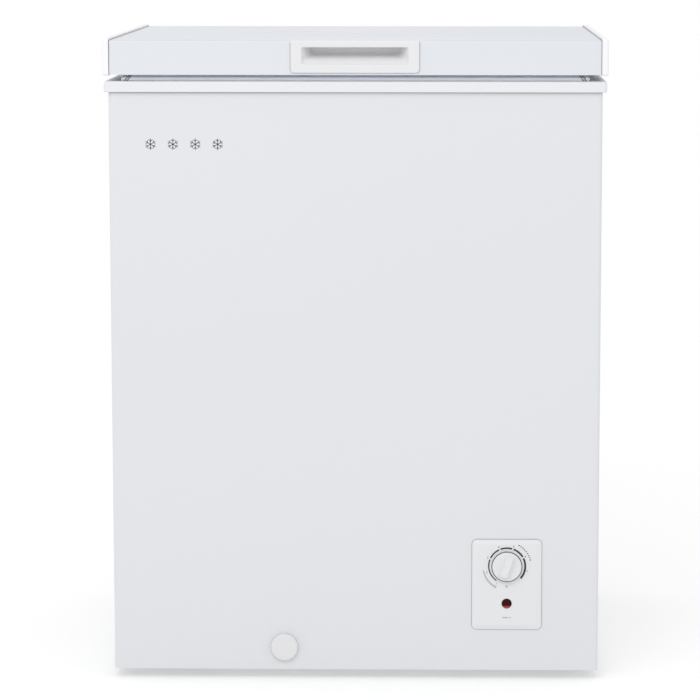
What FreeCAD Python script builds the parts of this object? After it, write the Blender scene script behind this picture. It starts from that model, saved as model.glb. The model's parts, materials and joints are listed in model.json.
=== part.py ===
import FreeCAD, Part
import math
import os

# Chest freezer, in millimetres. +Z is up, -Y is the front, +X is the user's right.
# The origin is on the floor, under the centre of the whole object.

V = FreeCAD.Vector
X_AXIS = V(1, 0, 0)
Y_AXIS = V(0, 1, 0)
Z_AXIS = V(0, 0, 1)
os.makedirs("parts", exist_ok=True)

# ---- driving dimensions ----
LID_W = 630.0              # over the end caps
BODY_W = 617.0
TRIM_W = 627.5
FRONT_Y = -263.0           # front face of the cabinet
REAR_Y = 262.0             # rear face of the cabinet
BODY_BOTTOM = 12.0
BODY_TOP = 748.0
TRIM_TOP = 761.8
LID_BOTTOM = 770.0
LID_TOP = 812.5
CAP_BOTTOM = 768.7
CAP_TOP = 815.0
LID_FRONT_Y = -269.5
OBJECT_FRONT_Y = -278.5    # face of the knob
OBJECT_REAR_Y = 278.5      # back of the hinge brackets

SHEET = 0.8                # steel sheet of shell, back and lid
WALL = 50.0                # shell face to tank face
LINER = 1.0
TANK_FLOOR = 64.0
TANK_CORNER = 20.0
STEP_X = 50.0              # left face of the step in the tank
STEP_TOP = 255.0
BAY_X = 90.0               # left wall of the compressor bay
BAY_TOP = 214.0
BASE_SHEET = 1.0
TRAY_SHEET = 2.0

SHELL_X = BODY_W / 2 - SHEET
SHELL_FRONT = FRONT_Y + SHEET
PANEL_OUT = REAR_Y - SHEET         # outer face of the back panel
PANEL_IN = PANEL_OUT - SHEET
TANK_X = BODY_W / 2 - WALL
TANK_FRONT = FRONT_Y + WALL
TANK_REAR = REAR_Y - WALL

SHELL_CORNER = 5.0
REAR_FLANGE = 14.0                 # shell flanges that the back panel sits behind
COVER_XS = (93.0, 293.0)           # service cover at the rear
COVER_ZS = (20.0, 210.0)
COVER_LAP = 12.0                   # overlap of the cover round its window
SLOT_H = 5.0                       # air slots
SLOT_CORNER = 2.4
SIDE_SLOT_YS = (40.0, 130.0)
SIDE_SLOT_L = 70.0
COVER_SLOT_XS = (121.0, 200.0)
COVER_SLOT_L = 66.0
FOOT_XS = (-235.0, 235.0)
FOOT_YS = (-185.0, 195.0)

# ---- refrigeration ----
EVAPORATOR_R = 4.0
EVAPORATOR_LEVELS = [340 + 70 * i for i in range(6)]
EVAPORATOR_REAR = 195.0
CONDENSER_R = 2.5
CONDENSER_LEVELS = [280 + 80 * i for i in range(6)]
CONDENSER_REAR = 235.0
EVAPORATOR_X = TANK_X + LINER + EVAPORATOR_R + 0.1
CONDENSER_X = SHELL_X - CONDENSER_R - 0.1
COIL_BEND = 25.0
COMPRESSOR_AT = V(200, 110, 30)
COMPRESSOR_R = 62.0
COMPRESSOR_H = 150.0
MOUNT_PLACES = [(COMPRESSOR_AT.x + dx, COMPRESSOR_AT.y + dy) for dx in (-80, 80) for dy in (-50, 50)]
GROMMET_H = 12.0
PLATE_SHEET = 2.5
PLATE_TOP = BODY_BOTTOM + TRAY_SHEET + GROMMET_H + PLATE_SHEET
DRIER_Z = 185.0
DRIER_Y = 235.0
SUCTION_LEAD_Y = 209.0
CAPILLARY_LEAD_Y = 224.0
DISCHARGE_LEAD_Y = 244.0
RETURN_LEAD_Y = 254.0

# ---- controls and drain ----
PANEL_X = 192.0            # control panel centre
PANEL_Z = 123.5
PANEL_W = 88.0
PANEL_H = 116.0
PANEL_FACE = FRONT_Y - 3.2
KNOB_Z = 147.8
KNOB_R = 19.5
KNOB_REST = 71.0           # angle of the pointer from +X, seen from the front
LAMP_Z = 99.2
LAMP_R = 6.5
THERMOSTAT_FRONT = -259.0
THERMOSTAT_REAR = -236.0
SENSOR_Y = -245.0
SHAFT_R = 3.0
RUNNING = 0.05             # radial clearance of a running fit
DRAIN_X = -91.0
DRAIN_Z = 41.5
DRAIN_BEND_Y = -185.0
DRAIN_CAP_R = 17.0
DRAIN_BORE = 6.0
DRAIN_TUBE_R = 8.0
SPOUT_R = 9.9
SPOUT_LENGTH = 28.0
DRAIN_BEND = 18.0
GLAND_AT = V(120, PANEL_OUT, 46)
GLAND_NECK = 7.0
GLAND_BORE = 4.0

# ---- lid ----
SKIN_X = LID_W / 2 - 8.2
PLUG_S = 9.0               # side of the lid's dish, outside the tank's inner face
PLUG_BOTTOM = 758.0
GASKET_OUT = 33.5          # sides and rear of the seal, outside the tank's inner face
GASKET_FRONT = -260.0
GASKET_WIDTH = 18.0
LINER_EDGE_Y0 = -261.5
LINER_EDGE_Y1 = 254.0
HANDLE_W = 160.5
HANDLE_BOTTOM = 772.4
RECESS_W = 132.5
RECESS_LOW = 783.3
RECESS_HIGH = 804.1
RECESS_DEPTH = 24.0

# ---- hinges ----
HINGE_XS = {"left": -190.0, "right": 190.0}
AXIS_Y = 270.5
AXIS_Z = 776.0
PIN_R = 3.0
OPEN_ANGLE = math.radians(85)
CAM_SHUT = 13.5            # axis to plunger face, lid shut
CAM_RATE = 6.0             # plunger travel per radian of lid
CAM_HALF = 7.0
EAR_GAP = 7.3              # hinge centre to the inner face of an ear
EAR_SHEET = 1.5
SPRING_SEAT = 641.5
PLUNGER_TOP = AXIS_Z - CAM_SHUT - 0.3
PLUNGER_BLOCK = 10.0
PLUNGER_Y = AXIS_Y - 0.3
SPRING_MEAN_R = 5.0
SPRING_WIRE_R = 1.0
SPRING_TURNS = 14

# ---- basket ----
BASKET_X = 148.0
BASKET_HALF = 100.0
BASKET_FOOT_HALF = 88.0
BASKET_FRONT = -203.0
BASKET_REAR = 202.0
BASKET_TAPER_Y = 13.0
BASKET_RIM_Z = 735.0
BASKET_FLOOR_Z = 560.0
HANGER_Z = BODY_TOP + 2.0 + 2.4
RIM_WIRE = 2.2
MESH_WIRE = 1.5


# ---- shape helpers ----
def block(x0, x1, y0, y1, z0, z1):
    return Part.makeBox(x1 - x0, y1 - y0, z1 - z0, V(x0, y0, z0))


def rod(radius, start, end):
    span = end - start
    return Part.makeCylinder(radius, span.Length, start, span)


def edges_along(shape, axis):
    found = []
    for edge in shape.Edges:
        way = edge.tangentAt(edge.FirstParameter)
        if abs(abs(way.dot(axis)) - 1) < 1e-6 and len(edge.Vertexes) == 2:
            found.append(edge)
    return found


def rounded(shape, axis, radius):
    """Fillets the edges that run along axis."""
    return shape.makeFillet(radius, edges_along(shape, axis))


def edges_at(shape, axis, value):
    """Edges that lie in the plane where the coordinate along axis is value."""
    found = []
    for edge in shape.Edges:
        if all(abs(vertex.Point.dot(axis) - value) < 1e-6 for vertex in edge.Vertexes):
            found.append(edge)
    return found


def upright(x_half, y0, y1, z0, z1, corner):
    """A block with rounded upright edges, centred on x = 0."""
    return rounded(block(-x_half, x_half, y0, y1, z0, z1), Z_AXIS, corner)


def profile_prism(points, x0, x1):
    """A closed outline of (y, z) points, drawn out along X."""
    outline = Part.makePolygon([V(x0, y, z) for y, z in points + points[:1]])
    return Part.Face(outline).extrude(V(x1 - x0, 0, 0))


def bent_wire(points, bend):
    """Straight runs through the points, joined by tangent arcs of one radius."""
    edges = []
    start = points[0]
    for before, corner, after in zip(points, points[1:], points[2:]):
        back = (before - corner).normalize()
        ahead = (after - corner).normalize()
        half_turn = (math.pi - back.getAngle(ahead)) / 2
        reach = bend * math.tan(half_turn)
        inward = (back + ahead).normalize()
        arc_start = corner + back * reach
        arc_end = corner + ahead * reach
        middle = corner + inward * (bend / math.cos(half_turn) - bend)
        edges.append(Part.makeLine(start, arc_start))
        edges.append(Part.Arc(arc_start, middle, arc_end).toShape())
        start = arc_end
    edges.append(Part.makeLine(start, points[-1]))
    return Part.Wire(edges)


def bent_tube(points, bend, radius):
    profile = Part.Wire(Part.makeCircle(radius, points[0], points[1] - points[0]))
    return bent_wire(points, bend).makePipeShell([profile], True, False)


def pan_screw(head_face, way, shank_r, length, head_r, head_h):
    """A screw whose head bears on head_face; way points into the work."""
    head = Part.makeCylinder(head_r, head_h, head_face - way * head_h, way)
    head = head.makeFillet(head_h * 0.45, edges_at(head, way, (head_face - way * head_h).dot(way)))
    return head.fuse(Part.makeCylinder(shank_r, length, head_face, way))


def fused(shapes):
    return shapes[0].fuse(shapes[1:]).removeSplitter()


def save(name, shape):
    shape.exportStep("parts/" + name + ".step")


# ---- screw places ----
SCREW_HOLE_R = 2.05
SCREW_CHASE_R = 2.1
BRACKET_SCREWS = [V(x + dx, PANEL_OUT + EAR_SHEET, z)
                  for x in HINGE_XS.values() for dx in (-16.5, 16.5) for z in (665, 725)]
ARM_SCREWS = [V(x + dx, REAR_Y + EAR_SHEET, z)
              for x in HINGE_XS.values() for dx in (-14, 14) for z in (790, 804)]
COVER_SCREWS = [V(x, PANEL_OUT + EAR_SHEET, z)
                for x in (COVER_XS[0] + 6, COVER_XS[1] - 6) for z in (COVER_ZS[0] + 6, COVER_ZS[1] - 6)]


def screw_holes(places):
    return [Part.makeCylinder(SCREW_HOLE_R, 30, place - Y_AXIS * 15, Y_AXIS) for place in places]


def screw_chases(places):
    """Room in the foam for the screws' shanks."""
    return [Part.makeCylinder(SCREW_CHASE_R, 14, place - Y_AXIS * 14, Y_AXIS) for place in places]


# ---- tank and insulation ----
def shell_space(rear, z0, z1):
    """The room inside the shell, with its two front corners rounded."""
    room = block(-SHELL_X, SHELL_X, SHELL_FRONT, rear, z0, z1)
    front = [edge for edge in edges_along(room, Z_AXIS) if edge.Vertexes[0].Point.y < 0]
    return room.makeFillet(SHELL_CORNER - SHEET, front)


def tank_space(grow):
    """The inside of the tank with its walls and floor moved out by grow."""
    whole = upright(TANK_X + grow, TANK_FRONT - grow, TANK_REAR + grow,
                    TANK_FLOOR - grow, BODY_TOP, TANK_CORNER + grow)
    step = block(STEP_X + grow, BODY_W, FRONT_Y, REAR_Y, 0, STEP_TOP - grow)
    return whole.cut(step)


def tank_liner():
    shape = tank_space(LINER).cut(tank_space(0))
    drain = rod(DRAIN_BORE, V(DRAIN_X, DRAIN_BEND_Y, 0), V(DRAIN_X, DRAIN_BEND_Y, STEP_TOP))
    return shape.cut(drain)


def drain_route():
    return [V(DRAIN_X, FRONT_Y + SPOUT_LENGTH, DRAIN_Z),
            V(DRAIN_X, DRAIN_BEND_Y, DRAIN_Z),
            V(DRAIN_X, DRAIN_BEND_Y, TANK_FLOOR - LINER)]


def cabinet_foam():
    foam = shell_space(PANEL_IN, BODY_BOTTOM + BASE_SHEET, BODY_TOP - 0.8)
    cuts = [tank_space(LINER)]
    cuts.append(block(BAY_X - BASE_SHEET, BODY_W, FRONT_Y, REAR_Y, 0, BAY_TOP + BASE_SHEET))
    # Ring grooves for the evaporator, on the tank side.
    depth = 2 * EVAPORATOR_R + 0.4
    for z in EVAPORATOR_LEVELS:
        cuts.append(upright(TANK_X + LINER + depth, TANK_FRONT - LINER - depth, TANK_REAR + LINER + 0.4,
                            z - 4.4, z + 4.4, COIL_BEND + 4.4))
    # Ring grooves for the condenser, on the shell side.
    inset = 2 * CONDENSER_R + 0.6
    for z in CONDENSER_LEVELS:
        ring = block(-SHELL_X, SHELL_X, SHELL_FRONT, CONDENSER_REAR, z - 2.9, z + 2.9)
        core = upright(SHELL_X - inset, SHELL_FRONT + inset, CONDENSER_REAR + 60,
                       z - 2.9, z + 2.9, COIL_BEND - 3)
        cuts.append(ring.cut(core))
    # Upright chases at the rear corners for the turned ends and the down leads.
    low, high = EVAPORATOR_LEVELS[0] - 5, EVAPORATOR_LEVELS[-1] + 5
    edge = TANK_X + LINER
    cuts.append(block(-edge - depth, -edge, 160, 200, low, high))
    cuts.append(block(edge, edge + depth, 160, 230, BAY_TOP, high))
    low, high = CONDENSER_LEVELS[0] - 5, CONDENSER_LEVELS[-1] + 5
    cuts.append(block(-SHELL_X, -SHELL_X + inset, 200, 240, low, high))
    cuts.append(block(SHELL_X - inset, SHELL_X, 200, 258, BAY_TOP, high))
    # Sensor chase, drain tube and spout, and the screws of the hinge brackets.
    cuts.append(block(PANEL_X - 4, PANEL_X + 4, SENSOR_Y - 4, TANK_FRONT - LINER, BAY_TOP, 320))
    cuts.append(bent_tube(drain_route(), DRAIN_BEND, DRAIN_TUBE_R))
    cuts.append(rod(SPOUT_R + 0.1, V(DRAIN_X, FRONT_Y, DRAIN_Z), drain_route()[0]))
    return foam.cut(cuts + screw_chases(BRACKET_SCREWS))


# ---- sheet metal ----
def outer_shell():
    """Front and both sides in one bent sheet, with flanges at the rear."""
    outer = block(-BODY_W / 2, BODY_W / 2, FRONT_Y, REAR_Y, BODY_BOTTOM, BODY_TOP)
    front = [edge for edge in edges_along(outer, Z_AXIS) if edge.Vertexes[0].Point.y < 0]
    outer = outer.makeFillet(SHELL_CORNER, front)
    window_half = BODY_W / 2 - REAR_FLANGE
    cuts = [shell_space(PANEL_OUT, BODY_BOTTOM, BODY_TOP)]
    cuts.append(block(-window_half, window_half, PANEL_OUT - 1, REAR_Y + 1, 0, BODY_TOP + 1))
    cuts.append(block(PANEL_X - 36, PANEL_X + 36, FRONT_Y - 1, FRONT_Y + 3, PANEL_Z - 50, PANEL_Z + 50))
    cuts.append(rod(SPOUT_R + 0.1, V(DRAIN_X, FRONT_Y - 1, DRAIN_Z), V(DRAIN_X, FRONT_Y + 3, DRAIN_Z)))
    # Two columns of air slots low on the right side.
    for row in range(9):
        for y in SIDE_SLOT_YS:
            z = 60 + 15 * row
            slot = block(SHELL_X - 3, BODY_W / 2 + 3, y, y + SIDE_SLOT_L, z, z + SLOT_H)
            cuts.append(rounded(slot, X_AXIS, SLOT_CORNER))
    return outer.cut(cuts)


def back_panel():
    sheet = block(-SHELL_X, SHELL_X, PANEL_IN, PANEL_OUT, BODY_BOTTOM + TRAY_SHEET, BODY_TOP - 0.8)
    window = block(COVER_XS[0] + COVER_LAP, COVER_XS[1] - COVER_LAP, PANEL_IN - 1, PANEL_OUT + 1,
                   COVER_ZS[0] + COVER_LAP, COVER_ZS[1] - COVER_LAP)
    return sheet.cut([window] + screw_holes(BRACKET_SCREWS + COVER_SCREWS))


def base_panel():
    room = shell_space(PANEL_IN, BODY_BOTTOM, BODY_BOTTOM + BASE_SHEET)
    return room.common(block(-BODY_W, BAY_X, FRONT_Y, REAR_Y, 0, BODY_TOP))


def compressor_tray():
    room = shell_space(PANEL_IN, BODY_BOTTOM, BODY_BOTTOM + TRAY_SHEET)
    tray = room.common(block(BAY_X, BODY_W, FRONT_Y, REAR_Y, 0, BODY_TOP))
    cuts = [rod(3.1, V(x, y, 0), V(x, y, 40)) for x, y in MOUNT_PLACES]
    for row in range(5):
        slot = block(130, 260, -150 + 26 * row, -142 + 26 * row, 0, 40)
        cuts.append(rounded(slot, Z_AXIS, 3.9))
    return tray.cut(cuts)


def compressor_bay_wall():
    """Bent sheet that closes the foam off from the compressor bay."""
    side = block(BAY_X - BASE_SHEET, BAY_X, SHELL_FRONT, PANEL_IN,
                 BODY_BOTTOM + BASE_SHEET, BAY_TOP + BASE_SHEET)
    top = block(BAY_X - BASE_SHEET, SHELL_X, SHELL_FRONT, PANEL_IN, BAY_TOP, BAY_TOP + BASE_SHEET)
    edge = TANK_X + LINER
    holes = [block(edge, edge + 8.4, 200, 230, BAY_TOP - 1, BAY_TOP + 3),
             block(SHELL_X - 5.6, SHELL_X + 1, 235, 258, BAY_TOP - 1, BAY_TOP + 3),
             rod(3, V(PANEL_X, SENSOR_Y, BAY_TOP - 1), V(PANEL_X, SENSOR_Y, BAY_TOP + 3))]
    return fused([side, top]).common(shell_space(PANEL_IN, 0, BODY_TOP)).cut(holes)


def rear_cover():
    """Slotted service cover over the compressor bay."""
    cover = block(*COVER_XS, PANEL_OUT, PANEL_OUT + EAR_SHEET, *COVER_ZS)
    cuts = screw_holes(COVER_SCREWS)
    cuts.append(rod(GLAND_NECK, GLAND_AT - Y_AXIS * 5, GLAND_AT + Y_AXIS * 5))
    for row in range(9):
        for x in COVER_SLOT_XS:
            z = 60 + 14 * row
            slot = block(x, x + COVER_SLOT_L, PANEL_OUT - 1, PANEL_OUT + 3, z, z + SLOT_H)
            cuts.append(rounded(slot, Y_AXIS, SLOT_CORNER))
    return rounded(cover, Y_AXIS, 6).cut(cuts)


# ---- top trim ----
def tank_offset(s, z0, z1):
    """A rounded block s outside the tank's inner faces."""
    corner = max(TANK_CORNER + s, 2.0)
    return upright(TANK_X + s, TANK_FRONT - s, TANK_REAR + s, z0, z1, corner)


def top_trim():
    """Moulded frame over the wall's top edge, open below, with a ledge for the basket."""
    front = FRONT_Y - 5
    trim = upright(TRIM_W / 2, front, REAR_Y, BODY_TOP, TRIM_TOP, 5)
    trim = trim.makeFillet(2.4, edges_at(trim, Z_AXIS, TRIM_TOP))
    trim = trim.makeFillet(1.2, edges_at(trim, Z_AXIS, BODY_TOP))
    cuts = [tank_offset(-1, BODY_TOP - 1, TRIM_TOP + 1), tank_offset(12, BODY_TOP + 2, TRIM_TOP + 1)]
    wide = upright(TRIM_W / 2 - 2.5, front + 2.5, REAR_Y - 2.5, BODY_TOP + 2, TRIM_TOP - 2.5, 3)
    narrow = upright(BODY_W / 2 - 6, FRONT_Y + 6, REAR_Y - 6, BODY_TOP - 1, TRIM_TOP - 2.5, 3)
    core = tank_offset(14.5, BODY_TOP - 2, TRIM_TOP)
    cuts += [wide.cut(core), narrow.cut(core)]
    return trim.cut(cuts)


# ---- refrigeration ----
def wall_passes(x_half, front, rear, levels):
    """Points of passes round the right, front and left walls, turned back at the rear."""
    points = []
    for index, z in enumerate(levels):
        side = 1 if index % 2 == 0 else -1
        points.append(V(side * x_half, rear, z))
        points.append(V(side * x_half, front, z))
        points.append(V(-side * x_half, front, z))
        points.append(V(-side * x_half, rear, z))
    return points


def evaporator_coil():
    front = TANK_FRONT - LINER - EVAPORATOR_R - 0.1
    points = wall_passes(EVAPORATOR_X, front, EVAPORATOR_REAR, EVAPORATOR_LEVELS)
    return bent_tube(points, COIL_BEND, EVAPORATOR_R)


def condenser_coil():
    front = SHELL_FRONT + CONDENSER_R + 0.1
    points = wall_passes(CONDENSER_X, front, CONDENSER_REAR, CONDENSER_LEVELS)
    return bent_tube(points, COIL_BEND, CONDENSER_R)


def compressor():
    """Welded can with a seam flange, a foot ring and a stub for charging."""
    can = Part.makeCylinder(COMPRESSOR_R, COMPRESSOR_H, COMPRESSOR_AT)
    can = can.makeFillet(30, edges_at(can, Z_AXIS, COMPRESSOR_AT.z)
                         + edges_at(can, Z_AXIS, COMPRESSOR_AT.z + COMPRESSOR_H))
    seam = Part.makeCylinder(COMPRESSOR_R + 4, 4, COMPRESSOR_AT + Z_AXIS * 85)
    foot = Part.makeCylinder(40, 12, V(COMPRESSOR_AT.x, COMPRESSOR_AT.y, PLATE_TOP))
    stub = rod(3, COMPRESSOR_AT + V(0, 50, 60), COMPRESSOR_AT + V(0, 95, 60))
    return fused([can, seam, foot, stub])


def compressor_base_plate():
    low = PLATE_TOP - PLATE_SHEET
    plate = block(COMPRESSOR_AT.x - 95, COMPRESSOR_AT.x + 95, COMPRESSOR_AT.y - 65, COMPRESSOR_AT.y + 65,
                  low, PLATE_TOP)
    holes = [rod(3.2, V(x, y, 0), V(x, y, 60)) for x, y in MOUNT_PLACES]
    return rounded(plate, Z_AXIS, 12).cut(holes)


def compressor_grommets():
    low = BODY_BOTTOM + TRAY_SHEET
    rings = []
    for x, y in MOUNT_PLACES:
        body = rod(10, V(x, y, low), V(x, y, low + GROMMET_H))
        waist = rod(11, V(x, y, low + 4), V(x, y, low + 8)).cut(rod(8, V(x, y, low), V(x, y, low + 12)))
        rings.append(body.cut([waist, rod(3.2, V(x, y, 0), V(x, y, 60))]))
    return Part.makeCompound(rings)


def compressor_bolts():
    bolts = []
    for x, y in MOUNT_PLACES:
        shank = rod(3, V(x, y, BODY_BOTTOM), V(x, y, PLATE_TOP + 5))
        points = [V(x, y, PLATE_TOP) + V(math.cos(a), math.sin(a), 0) * 5.8
                  for a in (math.radians(60 * i) for i in range(7))]
        nut = Part.Face(Part.makePolygon(points)).extrude(V(0, 0, 5))
        bolts.append(shank.fuse(nut).removeSplitter())
    return Part.makeCompound(bolts)


def terminal_cover(can):
    x, y = COMPRESSOR_AT.x, COMPRESSOR_AT.y - COMPRESSOR_R
    cover = block(x - 25, x + 25, y - 16, y + 16, 62, 108)
    return rounded(cover, Y_AXIS, 5).cut(can)


def filter_drier():
    body = rod(9, V(135, DRIER_Y, DRIER_Z), V(205, DRIER_Y, DRIER_Z))
    right = Part.makeCone(9, CONDENSER_R + 0.8, 14, V(205, DRIER_Y, DRIER_Z), X_AXIS)
    left = Part.makeCone(9, 2.2, 14, V(135, DRIER_Y, DRIER_Z), -X_AXIS)
    return fused([body, right, left])


def suction_tube(can):
    low = EVAPORATOR_LEVELS[0]
    points = [V(EVAPORATOR_X, EVAPORATOR_REAR, low),
              V(EVAPORATOR_X, SUCTION_LEAD_Y, low),
              V(EVAPORATOR_X, SUCTION_LEAD_Y, 150),
              V(EVAPORATOR_X - 8, SUCTION_LEAD_Y - 25, 122),
              V(236, 146, 120)]
    return bent_tube(points, 13, EVAPORATOR_R).cut(can)


def capillary_tube():
    high = EVAPORATOR_LEVELS[-1]
    points = [V(121, DRIER_Y, DRIER_Z),
              V(105, DRIER_Y, DRIER_Z),
              V(105, CAPILLARY_LEAD_Y + 6, 205),
              V(EVAPORATOR_X, CAPILLARY_LEAD_Y, 205),
              V(EVAPORATOR_X, CAPILLARY_LEAD_Y, high),
              V(EVAPORATOR_X, EVAPORATOR_REAR, high)]
    return bent_tube(points, 8, 1.2)


def condenser_return():
    high = CONDENSER_LEVELS[-1]
    points = [V(CONDENSER_X, CONDENSER_REAR, high),
              V(CONDENSER_X, RETURN_LEAD_Y, high),
              V(CONDENSER_X, RETURN_LEAD_Y, DRIER_Z),
              V(245, DRIER_Y, DRIER_Z),
              V(219, DRIER_Y, DRIER_Z)]
    return bent_tube(points, 8, CONDENSER_R)


def discharge_tube(can):
    low = CONDENSER_LEVELS[0]
    points = [V(CONDENSER_X, CONDENSER_REAR, low),
              V(CONDENSER_X, DISCHARGE_LEAD_Y, low),
              V(CONDENSER_X, DISCHARGE_LEAD_Y, 90),
              V(CONDENSER_X - 10, 200, 78),
              V(245, 125, 78)]
    return bent_tube(points, 8, CONDENSER_R).cut(can)


# ---- controls ----
def rounded_wire(x, z, width, height, corner, y):
    face = block(x - width / 2, x + width / 2, y, y + 1, z - height / 2, z + height / 2)
    solid = rounded(face, Y_AXIS, corner)
    for side in solid.Faces:
        if all(abs(vertex.Point.y - y) < 1e-6 for vertex in side.Vertexes):
            return side.OuterWire
    return None


def control_panel():
    """Moulded plate with a bevelled border round a flat field."""
    base = rounded(block(PANEL_X - PANEL_W / 2, PANEL_X + PANEL_W / 2, FRONT_Y - 1.4, FRONT_Y,
                         PANEL_Z - PANEL_H / 2, PANEL_Z + PANEL_H / 2), Y_AXIS, 6)
    foot = rounded_wire(PANEL_X, PANEL_Z, PANEL_W - 0.8, PANEL_H - 0.8, 5.6, FRONT_Y - 1.4)
    crown = rounded_wire(PANEL_X, PANEL_Z, PANEL_W - 12, PANEL_H - 12, 3.5, PANEL_FACE)
    bevel = Part.makeLoft([foot, crown], True, True)
    collar = block(PANEL_X - 35.5, PANEL_X + 35.5, FRONT_Y, FRONT_Y + 4, PANEL_Z - 49.5, PANEL_Z + 49.5)
    hollow = block(PANEL_X - 33.5, PANEL_X + 33.5, FRONT_Y, FRONT_Y + 5, PANEL_Z - 47.5, PANEL_Z + 47.5)
    cuts = [rod(4.0, V(PANEL_X, -300, KNOB_Z), V(PANEL_X, -200, KNOB_Z)),
            rod(LAMP_R, V(PANEL_X, -300, LAMP_Z), V(PANEL_X, -200, LAMP_Z))]
    return fused([base, bevel, collar.cut(hollow)]).cut(cuts)


def thermostat_body():
    body = block(PANEL_X - 22, PANEL_X + 22, THERMOSTAT_FRONT, THERMOSTAT_REAR, KNOB_Z - 17, KNOB_Z + 17)
    bush = rod(3.9, V(PANEL_X, FRONT_Y, KNOB_Z), V(PANEL_X, THERMOSTAT_FRONT, KNOB_Z))
    bore = rod(SHAFT_R + RUNNING, V(PANEL_X, -300, KNOB_Z), V(PANEL_X, THERMOSTAT_REAR - 6, KNOB_Z))
    return body.fuse(bush).cut(bore)


def thermostat_sensor():
    points = [V(PANEL_X, SENSOR_Y, KNOB_Z + 17), V(PANEL_X, SENSOR_Y, 235),
              V(PANEL_X, TANK_FRONT - LINER - 2.2, 262), V(PANEL_X, TANK_FRONT - LINER - 2.2, 285)]
    lead = bent_tube(points, 8, 1.0)
    bulb = Part.makeCylinder(2.0, 33, V(PANEL_X, TANK_FRONT - LINER - 2.2, 284))
    return lead.fuse(bulb)


def thermostat_shaft():
    return rod(SHAFT_R, V(PANEL_X, OBJECT_FRONT_Y + 5, KNOB_Z), V(PANEL_X, THERMOSTAT_REAR - 7, KNOB_Z))


def thermostat_knob():
    """Disc with a grip bar across its face, pointing at the mark between mid and high."""
    back = PANEL_FACE - 0.4
    skirt = Part.makeCylinder(KNOB_R, 5.5, V(PANEL_X, back, KNOB_Z), -Y_AXIS)
    skirt = skirt.makeFillet(1.2, edges_at(skirt, Y_AXIS, back - 5.5))
    grip = block(-5, 5, OBJECT_FRONT_Y, back - 4, -17.5, 17.5)
    grip = rounded(grip, Y_AXIS, 4.8)
    grip = grip.makeFillet(1.4, edges_at(grip, Y_AXIS, OBJECT_FRONT_Y))
    grip.rotate(V(0, 0, 0), Y_AXIS, 90 - KNOB_REST)
    grip.translate(V(PANEL_X, 0, KNOB_Z))
    bore = rod(SHAFT_R, V(PANEL_X, OBJECT_FRONT_Y + 5, KNOB_Z), V(PANEL_X, -200, KNOB_Z))
    return fused([skirt, grip]).cut(bore)


def indicator_lens():
    neck = rod(LAMP_R - 0.1, V(PANEL_X, FRONT_Y + 2, LAMP_Z), V(PANEL_X, PANEL_FACE - 0.6, LAMP_Z))
    return neck.makeFillet(0.55, edges_at(neck, Y_AXIS, PANEL_FACE - 0.6))


def indicator_lamp():
    body = rod(8.5, V(PANEL_X, FRONT_Y + 2, LAMP_Z), V(PANEL_X, FRONT_Y + 22, LAMP_Z))
    blades = [block(PANEL_X + dx - 0.4, PANEL_X + dx + 0.4, FRONT_Y + 20, FRONT_Y + 30,
                    LAMP_Z - 3, LAMP_Z + 3) for dx in (-4, 4)]
    return fused([body] + blades)


def wire_harness(cover):
    points = [V(PANEL_X, THERMOSTAT_REAR, KNOB_Z - 8), V(PANEL_X, THERMOSTAT_REAR + 45, KNOB_Z - 8),
              V(170, -120, 92), V(168, -50, 58), V(195, -8, 76), V(200, 36, 85)]
    return bent_tube(points, 14, 2.5).cut(cover)


def cord_gland():
    outside = PANEL_OUT + EAR_SHEET
    neck = rod(GLAND_NECK, V(GLAND_AT.x, PANEL_OUT - 6, GLAND_AT.z), V(GLAND_AT.x, outside, GLAND_AT.z))
    flange = rod(11, V(GLAND_AT.x, outside, GLAND_AT.z), V(GLAND_AT.x, outside + 3, GLAND_AT.z))
    nose = Part.makeCone(9, 6.5, 8, V(GLAND_AT.x, outside + 3, GLAND_AT.z), Y_AXIS)
    bore = rod(GLAND_BORE, GLAND_AT - Y_AXIS * 20, GLAND_AT + Y_AXIS * 30)
    return fused([neck, flange, nose]).cut(bore)


# ---- drain ----
def drain_spout():
    inner = FRONT_Y + SPOUT_LENGTH
    neck = rod(SPOUT_R, V(DRAIN_X, inner, DRAIN_Z), V(DRAIN_X, FRONT_Y, DRAIN_Z))
    flange = rod(13, V(DRAIN_X, FRONT_Y, DRAIN_Z), V(DRAIN_X, FRONT_Y - 1.2, DRAIN_Z))
    bore = rod(DRAIN_BORE, V(DRAIN_X, -300, DRAIN_Z), V(DRAIN_X, 0, DRAIN_Z))
    return fused([neck, flange]).cut(bore)


def drain_tube():
    outside = bent_tube(drain_route(), DRAIN_BEND, DRAIN_TUBE_R)
    return outside.cut(bent_tube(drain_route(), DRAIN_BEND, DRAIN_BORE))


def drain_cap():
    """Cup that covers the spout, with a stopper in the middle."""
    face = FRONT_Y - 5.6
    cup = rod(DRAIN_CAP_R, V(DRAIN_X, face, DRAIN_Z), V(DRAIN_X, FRONT_Y - 0.3, DRAIN_Z))
    cup = cup.makeFillet(1.2, edges_at(cup, Y_AXIS, face))
    hollow = rod(DRAIN_CAP_R - 2, V(DRAIN_X, face + 2.4, DRAIN_Z), V(DRAIN_X, FRONT_Y + 1, DRAIN_Z))
    stopper = rod(DRAIN_BORE - 0.3, V(DRAIN_X, face + 2, DRAIN_Z), V(DRAIN_X, FRONT_Y + 12, DRAIN_Z))
    return fused([cup.cut(hollow), stopper])


def drain_plug():
    head = rod(11, V(DRAIN_X, DRAIN_BEND_Y, TANK_FLOOR + 0.1), V(DRAIN_X, DRAIN_BEND_Y, TANK_FLOOR + 4))
    head = head.makeFillet(1.5, edges_at(head, Z_AXIS, TANK_FLOOR + 4))
    stem = rod(DRAIN_BORE - 0.3, V(DRAIN_X, DRAIN_BEND_Y, TANK_FLOOR - 4),
               V(DRAIN_X, DRAIN_BEND_Y, TANK_FLOOR + 2))
    return fused([head, stem])


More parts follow.
